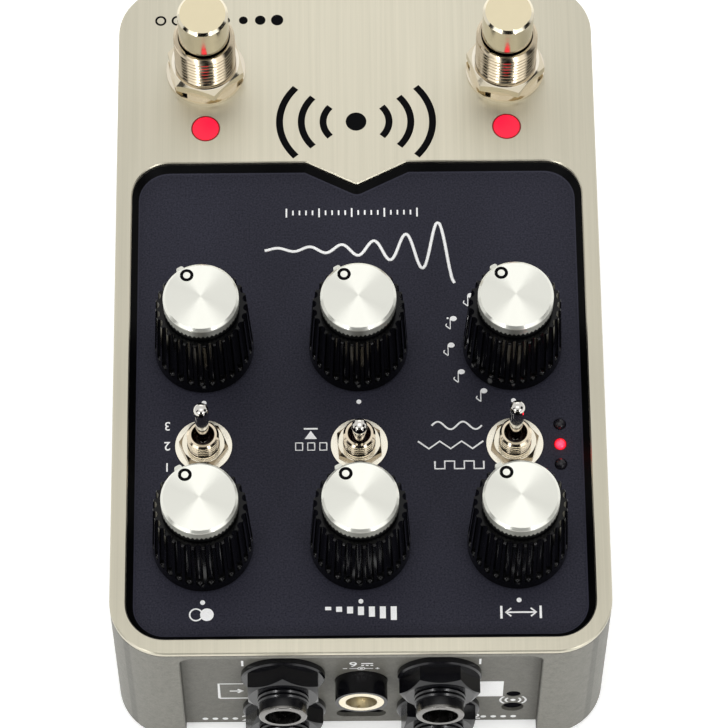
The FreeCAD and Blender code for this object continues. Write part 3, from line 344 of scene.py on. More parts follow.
metals = {  # colour, roughness, and for some a top face of its own colour, a thread, or a mouth with grease and painted shade
    "platedNickel": {  # bright nickel: warm mirror with faint smears
        "colour": "#e0d7c4", "roughness": 0.13, "nodes": ["footswitch_lock_washers", "footswitch_washers"]},
    "nutNickel": {  # nickel over turned flats; its top face painted paler than the flats, as painted light
        "colour": "#d8ceb7", "roughness": 0.12, "top": (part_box("footswitch_nuts")[1].z, "#efe7d6"),
        "nodes": ["footswitch_nuts"]},
    "bushingNickel": {  # nickel in a cut thread, a shade darker
        "colour": "#b8ab94", "roughness": 0.16, "nodes": ["footswitch_bushings"]},
    "leverChrome": {  # polished chrome: cold mirror
        "colour": "#c8c5bf", "roughness": 0.07, "nodes": ["toggle_lever_" + side for side in toggleSides]},
    "plungerNickel": {  # nickel, with a warmer face of its own colour on top
        "colour": "#d8d0bb", "roughness": 0.12, "top": (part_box("footswitch_plunger_left")[1].z, "#e3d7b6"),
        "nodes": ["footswitch_plunger_" + side for side in switchSides]},
    "washerNickel": {  # stamped washer, nickel plated: pale and bright
        "colour": "#f6f0df", "roughness": 0.18, "nodes": ["toggle_washers"]},
    "toggleNickel": {  # nickel bushing: thread outside, grease and shade in its mouth
        "colour": "#e0d2ba", "roughness": 0.12,
        "thread": {"kind": "toggle", "axis": 2, "levels": (toggleNutTop, toggleTop - 0.4 * mm)},
        "mouth": {"colour": "#1c0f0b", "radius": 2.23 * mm, "pitch": middle("knob_rear_right").x},
        "nodes": ["toggle_bodies"]},
    "toggleNutNickel": {  # small nut: its flats painted dark, a painted reflection of the dark deck, under a pale face
        "colour": "#8f8068", "roughness": 0.14, "top": (toggleNutTop, "#f2ebd8"), "nodes": ["toggle_nuts"]},
    "innerSteel": {  # zinc-plated steel: grey and dull
        "colour": "#a8a8aa", "roughness": 0.35, "nodes": [
            "base_screws", "board_screws", "pot_washers", "pot_nuts", "pot_bodies",
            *["pot_shaft_" + name for name in knobNames]]},
    "spacerBrass": {  # drawn brass: yellow, satin
        "colour": "#c9a75c", "roughness": 0.3, "nodes": ["board_standoffs"]},
    "ferruleNickel": {  # pressed ferrule, dulled by plugs
        "colour": "#7c7a77", "roughness": 0.22, "nodes": ["jack_ferrules"]},
    "contactNickel": {  # plated contact: pale and warm
        "colour": "#f3ead2", "roughness": 0.3, "nodes": ["dc_contacts"]},
}
smearLook = {
    "size": 1.6 * mm, "height": 0.004 * mm, "strength": 0.4, "gloss": (0.7, 1.6),
    "topFade": (-0.06 * mm, -0.02 * mm), "mouthFade": 0.1 * mm,
}


def platedMetal(name, look):  # a mirror that faint smears break up
    roughness = look["roughness"]
    material, shader, place = newMaterial(name, {"Base Color": toLinear(look["colour"]), "Metallic": 1.0})
    smears = addNode(material, "TexNoise", {
        "Scale": 1 / smearLook["size"], "Detail": 3.0, "Roughness": 0.6,
    }, {"Vector": place})
    low, high = (roughness * share for share in smearLook["gloss"])
    gloss = addNode(material, "MapRange", span(*mostNoise, low, high), {0: smears})
    feed(material, gloss, shader, "Roughness")
    axes = addNode(material, "SeparateXYZ", {}, {0: place}).outputs
    # a top face of its own colour above a level; on the nuts it is painted light, a paler top over painted
    # darker flats
    if "top" in look:
        level, topColour = look["top"]
        low, high = (level + fade for fade in smearLook["topFade"])
        share = addNode(material, "MapRange", span(low, high), {0: axes[2]})
        colours = look["colour"], topColour
    # a dark mouth of painted shade inside the toggle bushing
    if "mouth" in look:  # the middle bushing is at X = 0, so the row folds onto it
        mouth = look["mouth"]
        near = addNode(material, "Math", {"operation": "PINGPONG", 1: mouth["pitch"] / 2}, {0: axes[0]})
        flat = addNode(material, "CombineXYZ", {}, {0: near, 1: axes[1]})
        centre = (0, middle("toggle_washers").y, 0)
        reach = addNode(material, "VectorMath", {"operation": "DISTANCE", 1: centre}, {0: flat})
        inside = mouth["radius"] - smearLook["mouthFade"]
        share = addNode(material, "MapRange", span(inside, mouth["radius"]), {0: reach})
        colours = mouth["colour"], look["colour"]
    if "top" in look or "mouth" in look:
        plated = addNode(material, "Mix", {
            "data_type": "RGBA", colourA: toLinear(colours[0]), colourB: toLinear(colours[1]),
        }, {0: share})
        feed(material, plated, shader, "Base Color")
    bump = addNode(material, "Bump", {
        "Distance": smearLook["height"], "Strength": smearLook["strength"],
    }, {"Height": smears})
    if "thread" in look:
        bump = threadOver(material, place, look["thread"], bump)
    feed(material, bump, shader, "Normal")
    return material


# the cap's side is painted a darker grey than its face as a painted reflection of the black knob, and a
# near-black band with a toothed edge at its foot is painted shade and dark reflection
capLook = {
    "colour": "#e3e3da", "sideShadeColour": "#8c8c86", "roughness": 0.29, "sideRoughness": 0.5,
    "anisotropic": 0.93, "turn": 0.25, "side": 0.5 * mm, "sideFade": 0.4 * mm, "satinFade": 0.02 * mm,
    "lug": 0.05 * mm, "flatten": 1000,  # height counts for next to nothing in the rings
    "groove": 0.22 * mm, "grooveHeight": 0.006 * mm,  # real tool marks are finer, and wouldn't show
    "wobble": 0.6, "strength": 0.25,
    "footShade": "#141414", "footShadeTeeth": 54, "footShadeTop": 2.3 * mm, "footShadeDepth": 0.7 * mm, "footShadeFade": 0.1 * mm,
}
waveRing = math.tau / 20  # the pitch of a Wave texture's rings at a Scale of 1


def spunAluminium(name):  # aluminium faced on a lathe: rings round the middle throw a bow-tie of light
    low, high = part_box("knob_cap_" + name)
    centre = middle("knob_" + name)
    radius = centre.x - low.x
    top, edge = high.z, high.z - capLook["side"]
    material, shader, place = newMaterial("spunCap_" + name, {
        "Metallic": 1.0, "Anisotropic": capLook["anisotropic"], "Anisotropic Rotation": capLook["turn"],
    })
    tangent = addNode(material, "Tangent", {"direction_type": "RADIAL", "axis": "Z"})
    feed(material, tangent, shader, "Tangent")
    flat = addNode(material, "Mapping", {
        "vector_type": "TEXTURE", "Location": (centre.x, centre.y, 0), "Scale": (1, 1, capLook["flatten"]),
    }, {0: place})
    rings = addNode(material, "TexWave", {
        "wave_type": "RINGS", "rings_direction": "SPHERICAL", "Scale": waveRing / capLook["groove"],
        "Distortion": capLook["wobble"], "Detail": 1.0,
    }, {"Vector": flat})
    bump = addNode(material, "Bump", {
        "Distance": capLook["grooveHeight"], "Strength": capLook["strength"],
    }, {"Height": rings.outputs[1]})
    feed(material, bump, shader, "Normal")
    level = addNode(material, "SeparateXYZ", {}, {0: place}).outputs[2]
    satin = addNode(material, "MapRange", span(edge - capLook["satinFade"], edge, capLook["sideRoughness"],
                                               capLook["roughness"]), {0: level})
    feed(material, satin, shader, "Roughness")

    # painted reflection: the side is a darker grey than the face, all but the pointer lug
    face = addNode(material, "MapRange", span(edge - capLook["sideFade"], edge), {0: level})
    reach = addNode(material, "VectorMath", {"operation": "LENGTH"}, {0: flat})
    lug = capLook["lug"]
    pointer = addNode(material, "MapRange", span(radius + lug, radius + 2 * lug), {0: reach})
    bright = addNode(material, "Math", {"operation": "MAXIMUM"}, {0: face, 1: pointer})
    sideShaded = addNode(material, "Mix", {
        "data_type": "RGBA", colourA: toLinear(capLook["sideShadeColour"]), colourB: toLinear(capLook["colour"]),
    }, {0: bright})
    # painted shade and dark reflection: a near-black band with a toothed edge round the foot of the side
    around = addNode(material, "SeparateXYZ", {}, {0: flat}).outputs
    angle = addNode(material, "Math", {"operation": "ARCTAN2"}, {0: around[1], 1: around[0]})
    half = math.pi / capLook["footShadeTeeth"]
    tooth = addNode(material, "Math", {"operation": "PINGPONG", 1: half}, {0: angle})
    lift = addNode(material, "Math", {"operation": "MULTIPLY_ADD", 1: capLook["footShadeDepth"] / half},
                   {0: tooth, 2: level})
    footShadeTop = top - capLook["footShadeTop"]
    shown = addNode(material, "MapRange", span(footShadeTop - capLook["footShadeFade"], footShadeTop), {0: lift})
    footShaded = addNode(material, "Mix", {"data_type": "RGBA", colourA: toLinear(capLook["footShade"])},
                      {0: shown, colourB: sideShaded})
    feed(material, footShaded, shader, "Base Color")
    return material


lensLook = {
    "body": "#700a18", "light": "#ff1536", "strength": 1.4, "roughness": 0.18, "level": 0.4,
    "cloud": 1.5 * mm, "height": 0.01 * mm, "cloudStrength": 0.3, "flange": 0.8 * mm,
    "rim": (0.34 * mm, 0.136 * mm), "rimGlow": 0.1,  # the glow fades between these, in from the edge
}


def litLens():  # red acrylic, lit from behind: an even glow with a dark rim
    low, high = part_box("status_lenses")
    radius = (high.y - low.y) / 2 - lensLook["flange"]
    centre = (middle("footswitch_plunger_right").x, (low.y + high.y) / 2, 0)
    material, shader, place = newMaterial("statusLens", {
        "Base Color": toLinear(lensLook["body"]), "Roughness": lensLook["roughness"],
        "Specular IOR Level": lensLook["level"], "Emission Color": toLinear(lensLook["light"]),
    })
    cloud = addNode(material, "TexNoise", {"Scale": 1 / lensLook["cloud"]}, {"Vector": place})
    bump = addNode(material, "Bump", {
        "Distance": lensLook["height"], "Strength": lensLook["cloudStrength"],
    }, {"Height": cloud})
    feed(material, bump, shader, "Normal")
    axes = addNode(material, "SeparateXYZ", {}, {0: place}).outputs
    aside = addNode(material, "Math", {"operation": "ABSOLUTE"}, {0: axes[0]})  # both lenses are alike
    flat = addNode(material, "CombineXYZ", {}, {0: aside, 1: axes[1]})
    reach = addNode(material, "VectorMath", {"operation": "DISTANCE", 1: centre}, {0: flat})
    start, end = (radius - rim for rim in lensLook["rim"])
    faint = lensLook["rimGlow"] * lensLook["strength"]
    glow = addNode(material, "MapRange", span(start, end, lensLook["strength"], faint), {0: reach})
    feed(material, glow, shader, "Emission Strength")
    return material


inks = {
    "inkWhite": {"colour": "#fbfbfa", "level": 0.4},  # epoxy ink: flat white
    "inkBlack": {"colour": "#060608", "level": 0.04},  # the same in black, without sheen
}
inkLook = {
    "roughness": 0.5, "speckle": 0.25 * mm, "speckles": (0.3, 0.6), "thin": 0.92,
    "thickness": 0.03 * mm, "sink": 0.006 * mm, "capitals": 0.7, "bolder": 0.012,  # shares of a letter's size
}


def printedInk(name):  # screen printed: flat, and faintly uneven
    material, shader, place = newMaterial(name, {
        "Roughness": inkLook["roughness"], "Specular IOR Level": inks[name]["level"],
    })
    speckle = addNode(material, "TexNoise", {"Scale": 1 / inkLook["speckle"]}, {"Vector": place})
    thin = addNode(material, "MapRange", span(*inkLook["speckles"], inkLook["thin"]), {0: speckle})
    ink = addNode(material, "Mix", {
        "data_type": "RGBA", "blend_type": "MULTIPLY", 0: 1.0, colourA: toLinear(inks[name]["colour"]),
    }, {colourB: thin})
    feed(material, ink, shader, "Base Color")
    return material


inkWhite, inkBlack = (printedInk(name) for name in inks)
finishes = {name: mouldedPlastic(name, look) for name, look in plastics.items()}
finishes.update({name: platedMetal(name, look) for name, look in metals.items()})
print("materials made")


# CAD nodes that keep their shape

for name, look in (*plastics.items(), *metals.items()):
    dress(finishes[name], look["nodes"])
dress(powderCoatedCasting(), ["enclosure"])
dress(brushedNickel(), ["faceplate"])
dress(deckEnamel(), ["control_deck"])
dress(litLens(), ["status_lenses"])
for name in knobNames:
    dress(spunAluminium(name), ["knob_cap_" + name])
print("frame dressed")


# Footswitch bushings

threadLook = {
    "pitch": 1.1 * mm, "depth": 0.34 * mm,  # about twice as coarse as real, to show
    "flank": 0.45, "crest": 0.7, "bore": 5.0 * mm, "chamfer": 0.5 * mm, "steps": 64, "smooth": 25,
}


def threadedBushing(bm, centre, low, high, radius):  # a tube with a screw thread round it
    pitch, bore, steps = threadLook["pitch"], threadLook["bore"], threadLook["steps"]
    start = low - 1.5 * pitch
    profile = []
    for i in range(math.ceil((high - low) / pitch) + 3):
        foot = start + i * pitch
        profile += [(radius - threadLook["depth"], foot), (radius, foot + threadLook["flank"] * pitch),
                    (radius, foot + threadLook["crest"] * pitch)]
    bmesh.ops.spin(bm, geom=addProfile(bm, profile), cent=(0, 0, 0), axis=(0, 0, 1), angle=math.tau,
                   steps=steps, dvec=(0, 0, pitch / steps))
    bmesh.ops.remove_doubles(bm, verts=bm.verts, dist=0.01 * mm)
    for level, normal in ((low, (0, 0, -1)), (high, (0, 0, 1))):  # cut square, and closed to the bore
        cut = bmesh.ops.bisect_plane(bm, geom=bm.verts[:] + bm.edges[:] + bm.faces[:], dist=0.001 * mm,
                                     plane_co=(0, 0, level), plane_no=normal, clear_outer=True)
        rim = [e for e in cut["geom_cut"] if isinstance(e, bmesh.types.BMEdge)]
        inner = bmesh.ops.create_circle(bm, radius=bore, segments=steps,
                                        matrix=Matrix.Translation((0, 0, level)))
        ring = list({e for v in inner["verts"] for e in v.link_edges})
        bmesh.ops.bridge_loops(bm, edges=rim + ring)
    bmesh.ops.bridge_loops(bm, edges=[e for e in bm.edges if len(e.link_faces) == 1])
    for vert in bm.verts:  # the chamfer draws the last turn in
        reach = math.hypot(vert.co.x, vert.co.y)
        limit = radius - max(0.0, vert.co.z - high + threadLook["chamfer"])
        if reach > limit and reach > bore + 0.1 * mm:
            vert.co.x *= limit / reach
            vert.co.y *= limit / reach
    bmesh.ops.translate(bm, verts=bm.verts, vec=centre)


def footswitchBushings():
    low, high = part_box("footswitch_bushings")
    for side in switchSides:
        centre = middle("footswitch_plunger_" + side)
        name = "threadedBushing_" + side
        bm = bmesh.new()
        threadedBushing(bm, Vector((centre.x, centre.y, 0)), low.z, high.z, (high.y - low.y) / 2)
        piece = finishPiece(name, meshFrom(bm, name, threadLook["smooth"]), finishes["bushingNickel"],
                            "casing")
        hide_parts("footswitch_bushings")


footswitchBushings()
print("footswitch bushings threaded")


# Mode lamps

lampLook = {
    "flange": 0.8 * mm, "height": 0.9 * mm, "sink": 0.3 * mm, "steps": 32, "rings": 8, "smooth": 40,
    "body": "#8c0614", "light": "#ff1624", "roughness": 0.2, "cloud": 0.4 * mm, "cloudShare": 0.2,
    "facing": (0.1, 0.6), "glow": (13.0, 0.7),  # from straight on to turned away
}


def litResin():  # red resin over a bright chip: palest where it is looked at straight, deep red at its rim
    material, shader, place = newMaterial("litLamp", {
        "Base Color": toLinear(lampLook["body"]), "Roughness": lampLook["roughness"],
        "Emission Color": toLinear(lampLook["light"]),
    })
    turned = addNode(material, "LayerWeight").outputs["Facing"]
    cloud = addNode(material, "TexNoise", {"Scale": 1 / lampLook["cloud"]}, {"Vector": place})
    blur = addNode(material, "Math", {"operation": "MULTIPLY_ADD", 1: lampLook["cloudShare"]},
                   {0: cloud, 2: turned})
    glow = addNode(material, "MapRange", span(*lampLook["facing"], *lampLook["glow"]), {0: blur})
    feed(material, glow, shader, "Emission Strength")
    return material


def modeLamps():  # three domes, the middle one lit
    low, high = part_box("mode_lamps")
    centre = middle("mode_lamps")
    reach = (high.x - low.x) / 2
    radius, pitch = reach - lampLook["flange"], (high.y - low.y) / 2 - reach
    height, sink, rings = lampLook["height"], lampLook["sink"], lampLook["rings"]
    angles = [math.pi / 2 * k / rings for k in range(rings)]
    profile = [(0, -sink), (radius, -sink)]
    profile += [(radius * math.cos(a), height * math.sin(a)) for a in angles] + [(0, height)]
    lit = litResin()
    for i, step in enumerate((-1, 0, 1)):
        name = "modeLampDome_" + str(i + 1)
        bm = bmesh.new()
        bmesh.ops.spin(bm, geom=addProfile(bm, profile), cent=(0, 0, 0), axis=(0, 0, 1), angle=math.tau,
                       steps=lampLook["steps"], use_merge=True)
        bmesh.ops.translate(bm, verts=bm.verts, vec=(centre.x, centre.y + step * pitch, deckTop))
        piece = finishPiece(name, meshFrom(bm, name, lampLook["smooth"]),
                            finishes["smokedAcrylic"] if step else lit, "casing")
        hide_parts("mode_lamps")


modeLamps()
print("mode lamps made")


# Printed marks. Their sizes and places are in mm, from the middle of the surface that they lie on

surfaces = {  # origin, reading direction, up direction, ink and material slot
    "deck": ((0, 0, deckTop), (1, 0, 0), (0, 1, 0), inkWhite, "black_deck"),
    "plate": ((0, 0, plateTop), (1, 0, 0), (0, 1, 0), inkBlack, "brushed_plate"),
    "panel": ((0, panelFace, 0), (-1, 0, 0), (0, 0, 1), inkWhite, "grey_casting"),
}


def meshOfCurve(curve):  # a text or curve object made mesh, then thrown away
    holder = bpy.data.objects.new(curve.name, curve)
    bpy.context.scene.collection.objects.link(holder)
    bpy.context.view_layer.update()
    mesh = bpy.data.meshes.new_from_object(holder.evaluated_get(bpy.context.evaluated_depsgraph_get()))
    bpy.data.objects.remove(holder)
    return mesh


def textShape(text, height, x=0.0):  # plain numerals from Blender's own font
    curve = bpy.data.curves.new("markText", "FONT")
    curve.body = text
    curve.size = height * mm / inkLook["capitals"]
    curve.align_x = "CENTER"
    curve.align_y = "CENTER"
    curve.extrude = inkLook["thickness"] / 2
    curve.offset = inkLook["bolder"] * height * mm
    mesh = meshOfCurve(curve)
    mesh.transform(Matrix.Translation((x * mm, 0, 0)))
    return mesh


def strokeShape(runs, pen, smooth=True):  # runs of points, drawn with a round pen and pressed flat
    curve = bpy.data.curves.new("markStroke", "CURVE")
    curve.dimensions = "3D"
    curve.bevel_depth = pen / 2 * mm
    curve.bevel_resolution = 1
    curve.use_fill_caps = True
    curve.resolution_u = 6
    for points in runs:
        spline = curve.splines.new("BEZIER")
        spline.bezier_points.add(len(points) - 1)
        for knot, (x, y) in zip(spline.bezier_points, points):
            knot.co = (x * mm, y * mm, 0)
            knot.handle_left_type = knot.handle_right_type = "AUTO" if smooth else "VECTOR"
    mesh = meshOfCurve(curve)
    mesh.transform(Matrix.Diagonal((1, 1, inkLook["thickness"] / (pen * mm), 1)))
    return mesh


def filledShape(*outlines):  # closed outlines, laid flat and filled
    curve = bpy.data.curves.new("markFill", "CURVE")
    curve.dimensions = "2D"
    curve.fill_mode = "BOTH"
    curve.extrude = inkLook["thickness"] / 2
    for points in outlines:
        spline = curve.splines.new("POLY")
        spline.points.add(len(points) - 1)
        for knot, (x, y) in zip(spline.points, points):
            knot.co = (x * mm, y * mm, 0, 1)
        spline.use_cyclic_u = True
    return meshOfCurve(curve)


def circlePoints(radius, x=0.0, y=0.0, wide=1.0, steps=24):
    angles = [math.tau * i / steps for i in range(steps)]
    return [(x + radius * wide * math.cos(a), y + radius * math.sin(a)) for a in angles]


def arcPoints(radius, start, sweep, steps, wide=1.0):
    angles = [math.radians(start + sweep * i / steps) for i in range(steps + 1)]
    return [(radius * wide * math.cos(a), radius * math.sin(a)) for a in angles]


def boxPoints(width, height, x=0.0, y=0.0):
    return [(x + i * width / 2, y + j * height / 2) for i, j in ((-1, -1), (1, -1), (1, 1), (-1, 1))]


def closed(points):
    return points + points[:1]


def printMark(name, surface, place, shapes, ink=None):  # shapes joined, turned onto a surface and pressed in
    origin, across, up = (Vector(v) for v in surfaces[surface][:3])
    bm = bmesh.new()
    for shape in shapes:
        bm.from_mesh(shape)
    out = across.cross(up)
    lift = inkLook["thickness"] / 2 - inkLook["sink"]
    spot = origin + across * place[0] * mm + up * place[1] * mm + out * lift
    turned = Matrix((across, up, out)).transposed().to_4x4()
    bmesh.ops.transform(bm, matrix=Matrix.Translation(spot) @ turned, verts=bm.verts)
    mesh = bpy.data.meshes.new(name)
    bm.to_mesh(mesh)
    bm.free()
    return finishPiece(name, mesh, ink or surfaces[surface][3], "casing")


deckMarks = {
    "dot": 0.46, "dotRows": {"dotFront": 15.83, "dotRear": 56.35},
    "balance": (29.2, 58.75), "repeats": (0.0, 58.75), "interval": (-29.3, 58.75),
    "waves": {"round": ((-18.25, 20.9), 9.4), "saw": ((-17.05, 24.9), 12.2), "step": ((-18.6, 29.0), 9.1)},
    "waveHeight": 1.55, "wavePen": 0.38,
    "numbers": {"3": 20.5, "2": 24.6, "1": 28.95}, "numberX": 35.8, "numberHeight": 1.75,
    "slots": (8.96, 25.0), "keep": (9.04, 22.3),
    "notes": [(-21.0, -5.35), (-17.6, -0.5), (-17.1, 5.1), (-18.9, 10.7), (-23.05, 14.7)],
    "dottedNote": 1, "noteScale": 0.85,
    "fading": {"place": (-0.4, -16.4), "start": -18.0, "gap": 0.35, "count": 104, "height": 7.4,
               "loss": 0.033, "wave": 17.5, "pen": 0.62},
    "scale": {"place": (1.0, -24.3), "start": -12.5, "gap": 1.25, "count": 21, "width": 0.3,
              "long": 1.9, "short": 1.0},
}


def waveRun(kind, width, height):  # a few periods of a simple wave
    if kind == "round":
        return [(width * (i / 24 - 0.5), height / 2 * math.sin(math.tau * i / 12)) for i in range(25)]
    if kind == "saw":
        return [(width * (i / 6 - 0.5), height / 2 * (1 if i % 2 else -1)) for i in range(7)]
    steps = [(i // 2, -1 if i % 4 in (0, 3) else 1) for i in range(12)]
    return [(width * (x / 5 - 0.5), height / 2 * y) for x, y in steps]


def noteShapes(dotted):  # head, stem and flag of a plain note
    shapes = [
        filledShape(circlePoints(0.62, -0.5, -1.1, 1.25, 16)),
        strokeShape([[(0.2, -1.05), (0.2, 1.5)]], 0.24, False),
        strokeShape([[(0.2, 1.5), (0.75, 1.05), (1.15, 0.65), (1.0, 0.15)]], 0.28),
    ]
    if dotted:
        shapes.append(filledShape(circlePoints(0.24, 0.75, -1.2, 1.0, 12)))
    for shape in shapes:
        shape.transform(Matrix.Diagonal((deckMarks["noteScale"], deckMarks["noteScale"], 1, 1)))
    return shapes


def deckPrint():
    for i, side in enumerate(toggleSides):  # a dot under each knob
        x = middle("knob_cap_rear_" + side).x / mm
        for row, y in deckMarks["dotRows"].items():
            dot = filledShape(circlePoints(deckMarks["dot"]))
            printMark("deckMark_" + row + str(i), "deck", (x, y), [dot])
    printMark("deckMark_balance", "deck", deckMarks["balance"], [
        filledShape(circlePoints(1.25, -1.0)), strokeShape([closed(circlePoints(1.15, 1.0))], 0.3),
    ])
    bars = [filledShape(boxPoints(1.1, 2.7 - 0.34 * i, -6.0 + 2.0 * i, -0.17 * i)) for i in range(7)]
    printMark("deckMark_repeats", "deck", deckMarks["repeats"], bars)
    printMark("deckMark_interval", "deck", deckMarks["interval"], [
        filledShape(boxPoints(0.42, 2.5, -3.6)), filledShape(boxPoints(0.42, 2.5, 3.6)),
        strokeShape([[(-2.7, 0), (2.7, 0)], [(-1.8, 0.8), (-2.8, 0), (-1.8, -0.8)],
                     [(1.8, 0.8), (2.8, 0), (1.8, -0.8)]], 0.36, False),
    ])
    for kind, (place, width) in deckMarks["waves"].items():
        run = waveRun(kind, width, deckMarks["waveHeight"])
        wave = strokeShape([run], deckMarks["wavePen"], kind == "round")
        printMark("deckMark_wave_" + kind, "deck", place, [wave])
    for text, y in deckMarks["numbers"].items():
        printMark("deckMark_place" + text, "deck", (deckMarks["numberX"], y),
                  [textShape(text, deckMarks["numberHeight"])])
    slots = [strokeShape([closed(boxPoints(1.3, 1.5, x))], 0.26, False) for x in (-2.25, 0, 2.25)]
    printMark("deckMark_slots", "deck", deckMarks["slots"], slots)
    printMark("deckMark_keep", "deck", deckMarks["keep"], [
        filledShape([(-1.15, 1.15), (1.15, 1.15), (0, -0.55)]), filledShape(boxPoints(2.6, 0.32, 0, -0.95)),
    ])
    for i, place in enumerate(deckMarks["notes"]):
        printMark("deckMark_note" + str(i), "deck", place, noteShapes(i == deckMarks["dottedNote"]))
    fading = deckMarks["fading"]
    run = [(fading["start"] + fading["gap"] * i,
            fading["height"] * math.exp(-fading["loss"] * i) * math.cos(math.tau * i / fading["wave"]))
           for i in range(fading["count"])]
    printMark("deckMark_fadingWave", "deck", fading["place"], [strokeShape([run], fading["pen"])])
    scale = deckMarks["scale"]
    ticks = []
    for i in range(scale["count"]):
        length = scale["short" if i % 5 else "long"]
        ticks.append(filledShape(boxPoints(scale["width"], length, scale["start"] + i * scale["gap"])))
    printMark("deckMark_scale", "deck", scale["place"], ticks)


plateMarks = {
    "echoes": (0.0, -43.0), "dot": 2.0, "pen": 1.35,
    "radii": (5.3, 8.8, 12.3), "wide": 1.2, "sides": (-38.0, 142.0), "sweep": 76.0,
    "row": (0.0, -65.8), "taps": 15.2, "tapGap": 3.3, "holds": 31.5, "holdGap": 3.2,
}


def platePrint():
    arcs = [filledShape(circlePoints(plateMarks["dot"]))]
    for radius in plateMarks["radii"]:
        for start in plateMarks["sides"]:
            arc = arcPoints(radius, start, plateMarks["sweep"], 12, plateMarks["wide"])
            arcs.append(strokeShape([arc], plateMarks["pen"]))
    printMark("plateMark_echoes", "plate", plateMarks["echoes"], arcs)
    taps = [filledShape(circlePoints(1.2 - 0.17 * i, plateMarks["taps"] + plateMarks["tapGap"] * i))
            for i in range(5)]
    printMark("plateMark_taps", "plate", plateMarks["row"], taps)
    holds = [strokeShape([closed(circlePoints(0.9, plateMarks["holds"] + plateMarks["holdGap"] * i))], 0.4)
             for i in range(3)]
    printMark("plateMark_holds", "plate", plateMarks["row"], holds)


capMarks = {"angle": -60.0, "reach": 5.2, "radius": 0.96, "pen": 0.6}


def capPrint():  # a small ring on each cap, behind its pointer
    angle, reach = math.radians(capMarks["angle"]), capMarks["reach"]
    for name in knobNames:
        centre = middle("knob_" + name)
        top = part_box("knob_cap_" + name)[1].z
        surfaces["cap"] = ((centre.x, centre.y, top), (1, 0, 0), (0, 1, 0), inkBlack, "turned_cap")
        ring = strokeShape([closed(circlePoints(capMarks["radius"]))], capMarks["pen"])
        place = (reach * math.cos(angle), reach * math.sin(angle))
        piece = printMark("capMark_" + name, "cap", place, [ring])
        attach(piece, "knob_" + name)


panelMarks = {
    "input": (-23.4, 18.0), "output": (23.3, 18.0), "outputArrow": (24.4, 18.05),
    "arrow": [[(-1.2, 0), (1.1, 0)], [(0.3, 0.9), (1.2, 0), (0.3, -0.9)]],
    "numberHeight": 2.6, "rows": {"In": -1, "Out": 1}, "two": (26.4, 3.9), "one": (25.344, 31.5),
    "supply": (0.0, 30.6), "polarity": (0.0, 28.7), "link": (28.6, 12.3),
}


def panelPrint():
    arrow = panelMarks["arrow"]
    printMark("panelMark_input", "panel", panelMarks["input"], [
        strokeShape([closed(boxPoints(6.4, 7.2))], 0.55, False), strokeShape(arrow, 0.5, False),
    ])
    printMark("panelMark_output", "panel", panelMarks["output"], [filledShape(boxPoints(6.6, 7.5))])
    printMark("panelMark_outputArrow", "panel", panelMarks["outputArrow"],
              [strokeShape(arrow, 0.5, False)], inkBlack)
    for row, side in panelMarks["rows"].items():
        height = panelMarks["numberHeight"]
        (twoX, twoZ), (oneX, oneZ) = panelMarks["two"], panelMarks["one"]
        two = [textShape("2", height, -4.6 * side)]
        two += [filledShape(circlePoints(0.55, -3.2 + 1.9 * i)) for i in range(4)]
        printMark("panelMark_two" + row, "panel", (side * twoX, twoZ), two)
        printMark("panelMark_one" + row, "panel", (side * oneX, oneZ), [textShape("1", height, -3.4 * side)])
    printMark("panelMark_supply", "panel", panelMarks["supply"], [
        textShape("9", 2.2, -1.5), filledShape(boxPoints(2.2, 0.4, 1.1, 0.5)),
        filledShape(*[boxPoints(0.5, 0.4, 0.25 + 0.85 * i, -0.4) for i in range(3)]),
    ])
    printMark("panelMark_polarity", "panel", panelMarks["polarity"], [
        strokeShape([[(-3.4, 0), (-2.6, 0)], [(-2.2, 0), (-0.7, 0)], [(0.7, 0), (2.2, 0)],
                     [(2.6, 0), (3.4, 0)], [(3.0, -0.4), (3.0, 0.4)]], 0.28, False),
        strokeShape([closed(circlePoints(0.65, steps=16))], 0.26), filledShape(circlePoints(0.32)),
    ])
    link = [filledShape(circlePoints(0.5))]
    for radius in (1.4, 2.4):
        for start in (-45.0, 135.0):
            link.append(strokeShape([arcPoints(radius, start, 90.0, 8)], 0.42))
    printMark("panelMark_link", "panel", panelMarks["link"], link)


deckPrint()
platePrint()
capPrint()
panelPrint()
print("marks printed")


# Room, light and camera

studio = {
    "floor": "#f8f8f6", "floorSize": 4.0, "floorDrop": 0.02 * mm, "floorGlow": 0.4,
    "sky": "#ffffff", "skyLevel": 1.0, "flag": "#0a0a0a",
    "lamps": {  # azimuth 0 is straight ahead of the player's feet, 180 the sockets' side
        "top": {"size": (0.6, 0.52), "azimuth": 180, "elevation": 86, "distance": 1.0, "power": 1.0},
        "front": {"size": (0.58, 0.46), "azimuth": 0, "elevation": 36, "distance": 1.0, "power": 0.8},
        "backLeft": {"size": (0.6, 0.5), "azimuth": 138, "elevation": 32, "distance": 1.15, "power": 0.8},
        "backRight": {"size": (0.6, 0.5), "azimuth": 222, "elevation": 32, "distance": 1.15, "power": 0.8},
        "glintLeft": {"size": (0.07, 0.07), "azimuth": 152, "elevation": 30, "distance": 1.1, "power": 0.9},
        "glintRight": {"size": (0.07, 0.07), "azimuth": 208, "elevation": 30, "distance": 1.1, "power": 0.9},
    },
    "flags": {  # black cards that give bright metal something dark to show
        "behind": {"size": (1.1, 1.0), "azimuth": 180, "elevation": 31, "distance": 1.6},
        "left": {"size": (0.45, 1.0), "azimuth": 110, "elevation": 33, "distance": 1.5},
        "right": {"size": (0.9, 1.0), "azimuth": 262, "elevation": 33, "distance": 1.5},
    },
}


